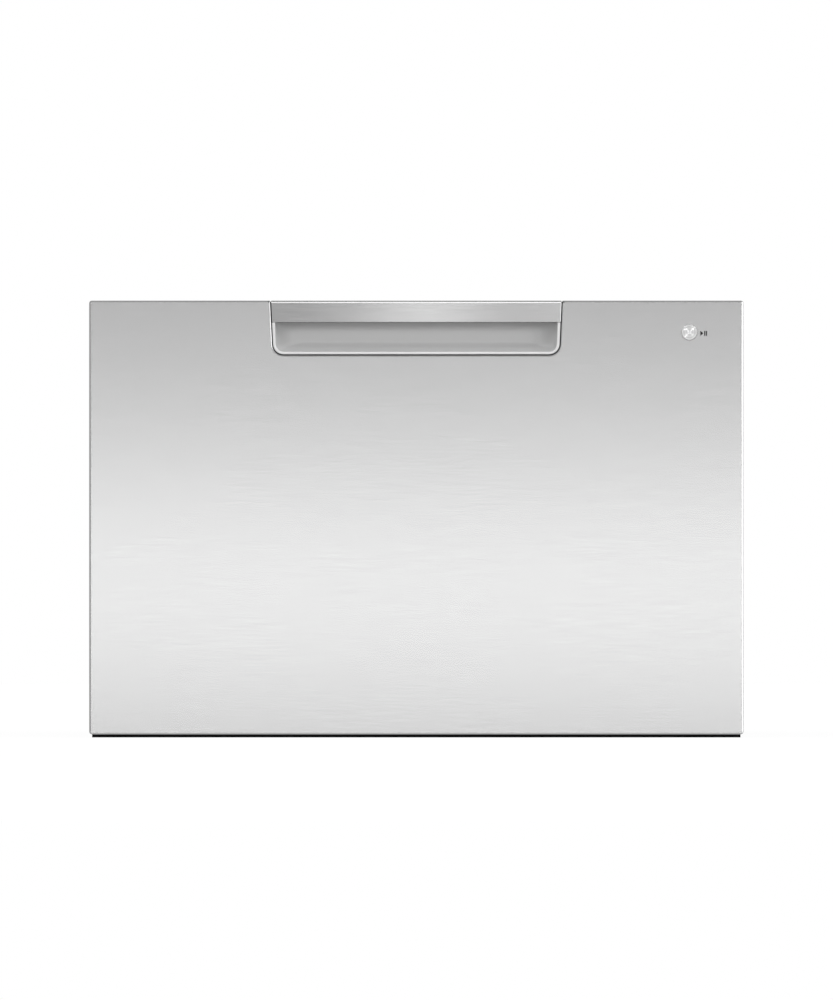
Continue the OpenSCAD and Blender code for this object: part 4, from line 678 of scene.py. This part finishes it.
def tineY(i):
    (a, b), margin = wires["combY"], wires["tineMargin"]
    return a + margin + i * (b - a - 2 * margin) / (wires["tines"] - 1)


def makeRack():
    w, parts = wires, []
    halfX, y0, y1, rim, floor, cross = w["halfX"], w["y0"], w["y1"], w["rim"], w["floor"], w["cross"]
    # the basket: wires from rim to rim both ways, and two loops round the sides
    for i in range(w["bays"] + 1):
        x = -halfX + i * 2 * halfX / w["bays"]
        y = y0 + i * (y1 - y0) / w["bays"]
        lengthwise = [((x, y0, rim), 0), ((x, y0, floor), w["bend"]), ((x, y1, floor), w["bend"]),
                      ((x, y1, rim), 0)]
        crosswise = [((-halfX, y, rim), 0), ((-halfX, y, cross), w["bend"]), ((halfX, y, cross), w["bend"]),
                     ((halfX, y, rim), 0)]
        thick = w["heavy"] if i in (0, w["bays"]) else w["light"]
        parts.append(tube(filletPath(lengthwise, 5, closed=False), thick))
        parts.append(tube(filletPath(crosswise, 5, closed=False), w["light"]))
    for z, radius in ((rim, w["heavy"]), ((floor + rim) / 2, w["light"])):
        square = ((-halfX, y0, z), (halfX, y0, z), (halfX, y1, z), (-halfX, y1, z))
        parts.append(tube(filletPath([(p, w["rimBend"]) for p in square]), radius, closed=True))
    feet = w["feet"]
    foot = [(0, feet), (3, feet), (4.5, feet + 1.5), (4.5, floor - 4), (3, floor), (0, floor)]
    parts += [lathe(foot, (x, y, 0), (0, 0, 1), 20) for x in (-halfX, halfX) for y in (y0, y1)]
    # the fixed rows of tines outside the folding ones
    for x in (-w["fixedX"], w["fixedX"]):
        z = cross + 2
        parts.append(tube([(x, y0 + (y1 - y0) / w["bays"], z), (x, y1, z)], w["light"]))
        for i in range(w["tines"]):
            parts.append(tube([(x, tineY(i), cross), (x, tineY(i), w["tineTop"])], w["light"], tips=True))
    # clips that the folding tines and the cup racks turn in
    clip, half, (c0, c1), (u0, u1) = w["clip"], w["clipHalf"], w["combY"], w["cupY"]
    for x in (-w["combX"], w["combX"]):
        for y in (c0 - clip - 1, c1 + 1):
            parts.append(ringBlock((x - half, x + half), (y, y + clip), (cross - 1, w["combZ"] + half)))
    for side in (-1, 1):
        hook = sorted((side * (w["cupX"] - half), side * (halfX + 1)))
        post = sorted((side * (halfX - 3), side * (halfX + 1)))
        for y in (u0 - clip - 1, u1 + 1):
            parts.append(ringBlock(hook, (y, y + clip), (w["cupZ"] - half, w["cupZ"] + half), 1.2))
            parts.append(ringBlock(post, (y, y + clip), (rim - 1, w["cupZ"])))
    addPiece("rackWires", *joinParts(parts), "rackNylon", "drawer", "rack_coating", ["rack"], sharp=60)


def makeAxle(x, z, span):
    # the wire that a folding part turns on, with a collar at each clip
    w, (low, high) = wires, span
    parts = [tube([(x, low - w["clip"], z), (x, high + w["clip"], z)], w["light"])]
    for y in (low - 0.7, high - 1.3):
        parts.append(tube([(x, y, z), (x, y + w["collar"], z)], w["light"] + w["collarExtra"], 16))
    return parts


def makeCombs():
    w = wires
    for side, name in ((-1, "left"), (1, "right")):
        x, z = side * w["combX"], w["combZ"]
        parts = makeAxle(x, z, w["combY"])
        for i in range(w["tines"]):
            parts.append(tube([(x, tineY(i), z), (x, tineY(i), w["tineTop"])], w["light"], tips=True))
        addPiece(name + "PlateTines", *joinParts(parts), "rackNylon", "tine_comb_" + name, "rack_coating",
                 ["tine_comb_" + name], sharp=60)


def makeCupRacks():
    w = wires
    (u0, u1), margin, rib = w["cupY"], w["railMargin"], w["ribMargin"]
    for side, name in ((-1, "left"), (1, "right")):
        x, z = side * w["cupX"], w["cupZ"]
        edgeX, edgeZ = x - side * w["cupReach"], z + w["cupEdge"]
        parts = makeAxle(x, z, w["cupY"])
        rails = [(x - side * w["cupReach"] * share, z) for share in w["cupRails"]] + [(edgeX, edgeZ)]
        for railX, railZ in rails:
            ends = [(railX, u0 + margin, railZ), (railX, u1 - margin, railZ)]
            parts.append(tube(ends, w["light"], tips=True))
        for i in range(w["cupRibs"]):
            y = u0 + rib + i * (u1 - u0 - 2 * rib) / (w["cupRibs"] - 1)
            path = filletPath([((x, y, z), 0), ((edgeX, y, z), w["cupBend"]), ((edgeX, y, edgeZ), 0)],
                              closed=False)
            parts.append(tube(path, w["light"], tips=True))
        addPiece(name + "CupRack", *joinParts(parts), "rackNylon", "cup_rack_" + name, "rack_coating",
                 ["cup_rack_" + name], sharp=60)


makeRack()
makeCombs()
makeCupRacks()
print("racks made")

# nozzle is (radius, height); its places are the distances along the arm
arm = dict(half=200.0, hub=21.5, bore=10.05, root=16.0, tip=13.5, low=93.0, high=105.0, y=-15.5, start=15,
           taper=1.6, steps=26, sides=20, nozzlePlaces=range(45, 176, 26), nozzleOff=4.5,
           nozzle=((3.6, -2.5), (3.2, 0.2), (1.6, 0.4), (1.2, -1.0), (0, -1.0)))


def armRing(side, t):
    # section of the arm at the share t of its length: a flat rounded tube with a round end
    a = arm
    mid, thick = (a["low"] + a["high"]) / 2, (a["high"] - a["low"]) / 2
    x = a["start"] + (a["half"] - a["start"]) * math.sin(t * math.pi / 2) ** 0.9
    end = math.sqrt(max(1 - max((x - a["half"] + a["tip"]) / a["tip"], 0) ** 2, 0.0))
    wide = (a["root"] + (a["tip"] - a["root"]) * min(t * 1.3, 1)) * max(end, 0.06)
    tall = (thick - a["taper"] * t) * max(end ** 0.6, 0.25)
    ring = [Vector((side * x, a["y"] + wide * math.copysign(abs(c) ** 0.6, c),
                    mid + tall * math.copysign(abs(s) ** 0.75, s))) for c, s in circle(a["sides"])]
    return ring if side > 0 else ring[::-1]


def makeSprayArm():
    a = arm
    mid, thick = (a["low"] + a["high"]) / 2, (a["high"] - a["low"]) / 2
    bore, hub = a["bore"], a["hub"]
    hubProfile = [(bore, -thick + 0.6), (bore + 0.6, -thick), (hub - 1.5, -thick), (hub, -thick + 1.5),
                  (hub, thick - 2), (hub - 2, thick), (bore + 1, thick), (bore, thick - 1),
                  (bore, -thick + 0.6)]
    parts = [lathe(hubProfile, (0, a["y"], mid), (0, 0, 1), 48)]
    nozzleZ = mid + thick - a["taper"] * 0.3 - 0.9
    for side in (-1, 1):
        parts.append(loft([armRing(side, k / a["steps"]) for k in range(a["steps"] + 1)]))
        for k, r in enumerate(a["nozzlePlaces"]):
            off = a["nozzleOff"] * (1 if k % 2 else -1)
            parts.append(lathe(a["nozzle"], (side * r, a["y"] + side * off, nozzleZ), (0, 0, 1), 20))
    addPiece("sprayArm", *joinParts(parts), "greyPlastic", "spray_arm", "grey_plastic", ["spray_arm"],
             sharp=45)


makeSprayArm()
print("spray arm made")

# smooth look on the solids that stay, with their edges kept
for solid in cadNodes.values():
    if not solid.hide_render:
        smoothMesh(solid.data, 28)

# strengths of the light that falls in, that steel mirrors from the walls and overhead, and of the paper
studio = dict(floor=6.0, fill=0.7, walls=0.66, ceiling=0.62, ceilingFrom=0.6, ceilingTo=0.8, paper=0.92,
              paperSeen=1.05, paperShare=0.88)
white = hexColour("#FFFFFF")


def makeWorld():
    world = bpy.data.worlds.new("studioWorld")
    bpy.context.scene.world = world
    world.use_nodes = True
    tree = world.node_tree
    tree.nodes.clear()
    path = addNode(tree, "ShaderNodeLightPath")
    seen = addNode(tree, "ShaderNodeMath", {"operation": "MAXIMUM"},
                   {0: (path, "Is Glossy Ray"), 1: (path, "Is Transmission Ray")})
    # overhead is a little dim, as under a studio ceiling
    place = addNode(tree, "ShaderNodeTexCoord")
    way = addNode(tree, "ShaderNodeSeparateXYZ", links={0: (place, "Generated")})
    ceiling = addNode(tree, "ShaderNodeMapRange",
                      {"From Min": studio["ceilingFrom"], "From Max": studio["ceilingTo"],
                       "To Min": studio["walls"], "To Max": studio["ceiling"]}, {"Value": (way, "Z")})
    soft = addNode(tree, "ShaderNodeBackground", {"Color": white, "Strength": studio["fill"]})
    mirrored = addNode(tree, "ShaderNodeBackground", {"Color": white}, {"Strength": (ceiling, "Result")})
    backdrop = addNode(tree, "ShaderNodeBackground", {"Color": white, "Strength": 1.0})
    unseen = addNode(tree, "ShaderNodeMixShader", links={0: (seen, 0), 1: (soft, 0), 2: (mirrored, 0)})
    whole = addNode(tree, "ShaderNodeMixShader",
                    links={0: (path, "Is Camera Ray"), 1: (unseen, 0), 2: (backdrop, 0)})
    addNode(tree, "ShaderNodeOutputWorld", links={"Surface": (whole, 0)})


def makeFloor():
    half = studio["floor"]
    mesh = bpy.data.meshes.new("studioFloor")
    mesh.from_pydata([(-half, -half, 0), (half, -half, 0), (half, half, 0), (-half, half, 0)], [],
                     [(0, 1, 2, 3)])
    floor = bpy.data.objects.new("studioFloor", mesh)
    bpy.context.scene.collection.objects.link(floor)
    # lit paper: the camera sees it as white, and the steel mirrors it a little darker
    material, tree = startMaterial("paperSweepWhite")
    path = addNode(tree, "ShaderNodeLightPath")
    seen = addNode(tree, "ShaderNodeMath", {"operation": "MAXIMUM"},
                   {0: (path, "Is Camera Ray"), 1: (path, "Is Glossy Ray")})
    share = addNode(tree, "ShaderNodeMath", {"operation": "MULTIPLY", 1: studio["paperShare"]},
                    {0: (seen, 0)})
    level = addNode(tree, "ShaderNodeMapRange", {"To Min": studio["paperSeen"], "To Max": studio["paper"]},
                    {"Value": (path, "Is Glossy Ray")})
    paper = addNode(tree, "ShaderNodeBsdfDiffuse", {"Color": white})
    glow = addNode(tree, "ShaderNodeEmission", {"Color": white}, {"Strength": (level, "Result")})
    mix = addNode(tree, "ShaderNodeMixShader", links={0: (share, 0), 1: (paper, 0), 2: (glow, 0)})
    addNode(tree, "ShaderNodeOutputMaterial", links={"Surface": (mix, 0)})
    mesh.materials.append(material)


frontPieces = ("handleBar", "fingerScoop", "startButton", "front_gasket")
lamps = [
    # a long strip in front, low down, that the brushed front smears into a broad band
    dict(name="frontStrip", at=(0, -1.29, 0.135), aim=(0, -0.2865, 0.135), size=(1.3, 0.16), power=2.25,
         spared=frontPieces),
    # soft box overhead for everything behind the front
    dict(name="topBox", at=(0, -0.2, 2.4), aim=(0, -0.2, 0), size=(2.4, 2.4), power=18,
         spared=frontPieces + ("frontSkin", "studioFloor")),
    # flagged lamps, each kept to a few pieces as with barn doors; this tall box on the right draws the
    # steel edges that are turned that way
    dict(name="rightBox", at=(1.1, -0.9, 0.25), aim=(0.0, -0.9, 0.25), size=(1.3, 1.2), power=22,
         kept=("frontSkin", "handleBar")),
    # the bar's soft hot spot, its lighter right end and its top edge
    dict(name="barSpot", at=(0.008, -0.99, 0.39), aim=(0.008, -0.2865, 0.39), size=(0.08, 0.1),
         power=0.068, kept=("handleBar",)),
    dict(name="barSide", at=(0.17, -0.99, 0.39), aim=(0.17, -0.2865, 0.39), size=(0.08, 0.1),
         power=0.045, kept=("handleBar",)),
    dict(name="barTop", at=(0.05, -1.1, 1.07), aim=(0.05, -0.2865, 0.39), size=(0.5, 0.4), power=1.4,
         kept=("handleBar",)),
    # the scoop's light from above
    dict(name="scoopKey", at=(0.2, -1.5, 0.63), aim=(0, -0.2865, 0.37), size=(2.4, 0.3), power=8.5,
         kept=("fingerScoop",)),
    dict(name="scoopTop", at=(0.2, -1.08, 1.16), aim=(0, -0.2865, 0.37), size=(2.4, 0.4), power=12,
         kept=("fingerScoop",)),
    # the crossed glints on the button, and its fill
    dict(name="glintRight", at=(0.97, -2.46, 1.09), aim=(0.25, -0.2865, 0.371), size=(0.25, 0.25),
         power=8, kept=("startButton",)),
    dict(name="glintLeft", at=(-0.47, -2.46, 1.09), aim=(0.25, -0.2865, 0.371), size=(0.25, 0.25),
         power=8, kept=("startButton",)),
    dict(name="buttonFill", at=(0.25, -1.8, 0.371), aim=(0.25, -0.2865, 0.371), size=(2.4, 2.4),
         power=4.6, kept=("startButton",)),
]


def linkLamp(light, names, state):
    receivers = bpy.data.collections.new(light.name + "Receivers")
    for name in names:
        receivers.objects.link(bpy.data.objects[name])
    for entry in receivers.collection_objects:
        entry.light_linking.link_state = state
    light.light_linking.receiver_collection = receivers


def makeLamps():
    for lamp in lamps:
        data = bpy.data.lights.new(lamp["name"], "AREA")
        data.shape, data.energy = "RECTANGLE", lamp["power"]
        data.size, data.size_y = lamp["size"]
        light = bpy.data.objects.new(lamp["name"], data)
        light.location = lamp["at"]
        way = Vector(lamp["aim"]) - Vector(lamp["at"])
        light.rotation_euler = way.to_track_quat("-Z", "Y").to_euler()
        light.visible_camera = False
        bpy.context.scene.collection.objects.link(light)
        for key, state in (("kept", "INCLUDE"), ("spared", "EXCLUDE")):
            if key in lamp:
                linkLamp(light, lamp[key], state)


# pixel is the width in mm of one pixel of the photo at the front
view = dict(distance=22.0, pixel=0.9153, height=1000, centreZ=217.5, centreX=0.18, sensor=36.0, clip=60)


def makeCamera():
    data = bpy.data.cameras.new("photoCamera")
    data.sensor_fit, data.sensor_width, data.clip_end = "AUTO", view["sensor"], view["clip"]
    data.lens = view["sensor"] * view["distance"] / (view["pixel"] * mm * view["height"])
    camera = bpy.data.objects.new("photoCamera", data)
    camera.location = (view["centreX"] * mm, faceY * mm - view["distance"], view["centreZ"] * mm)
    camera.rotation_euler = (math.pi / 2, 0, 0)
    bpy.context.scene.collection.objects.link(camera)
    bpy.context.scene.camera = camera


makeWorld()
makeFloor()
makeLamps()
makeCamera()
bpy.context.scene.view_settings.view_transform = "Standard"
print("studio ready")
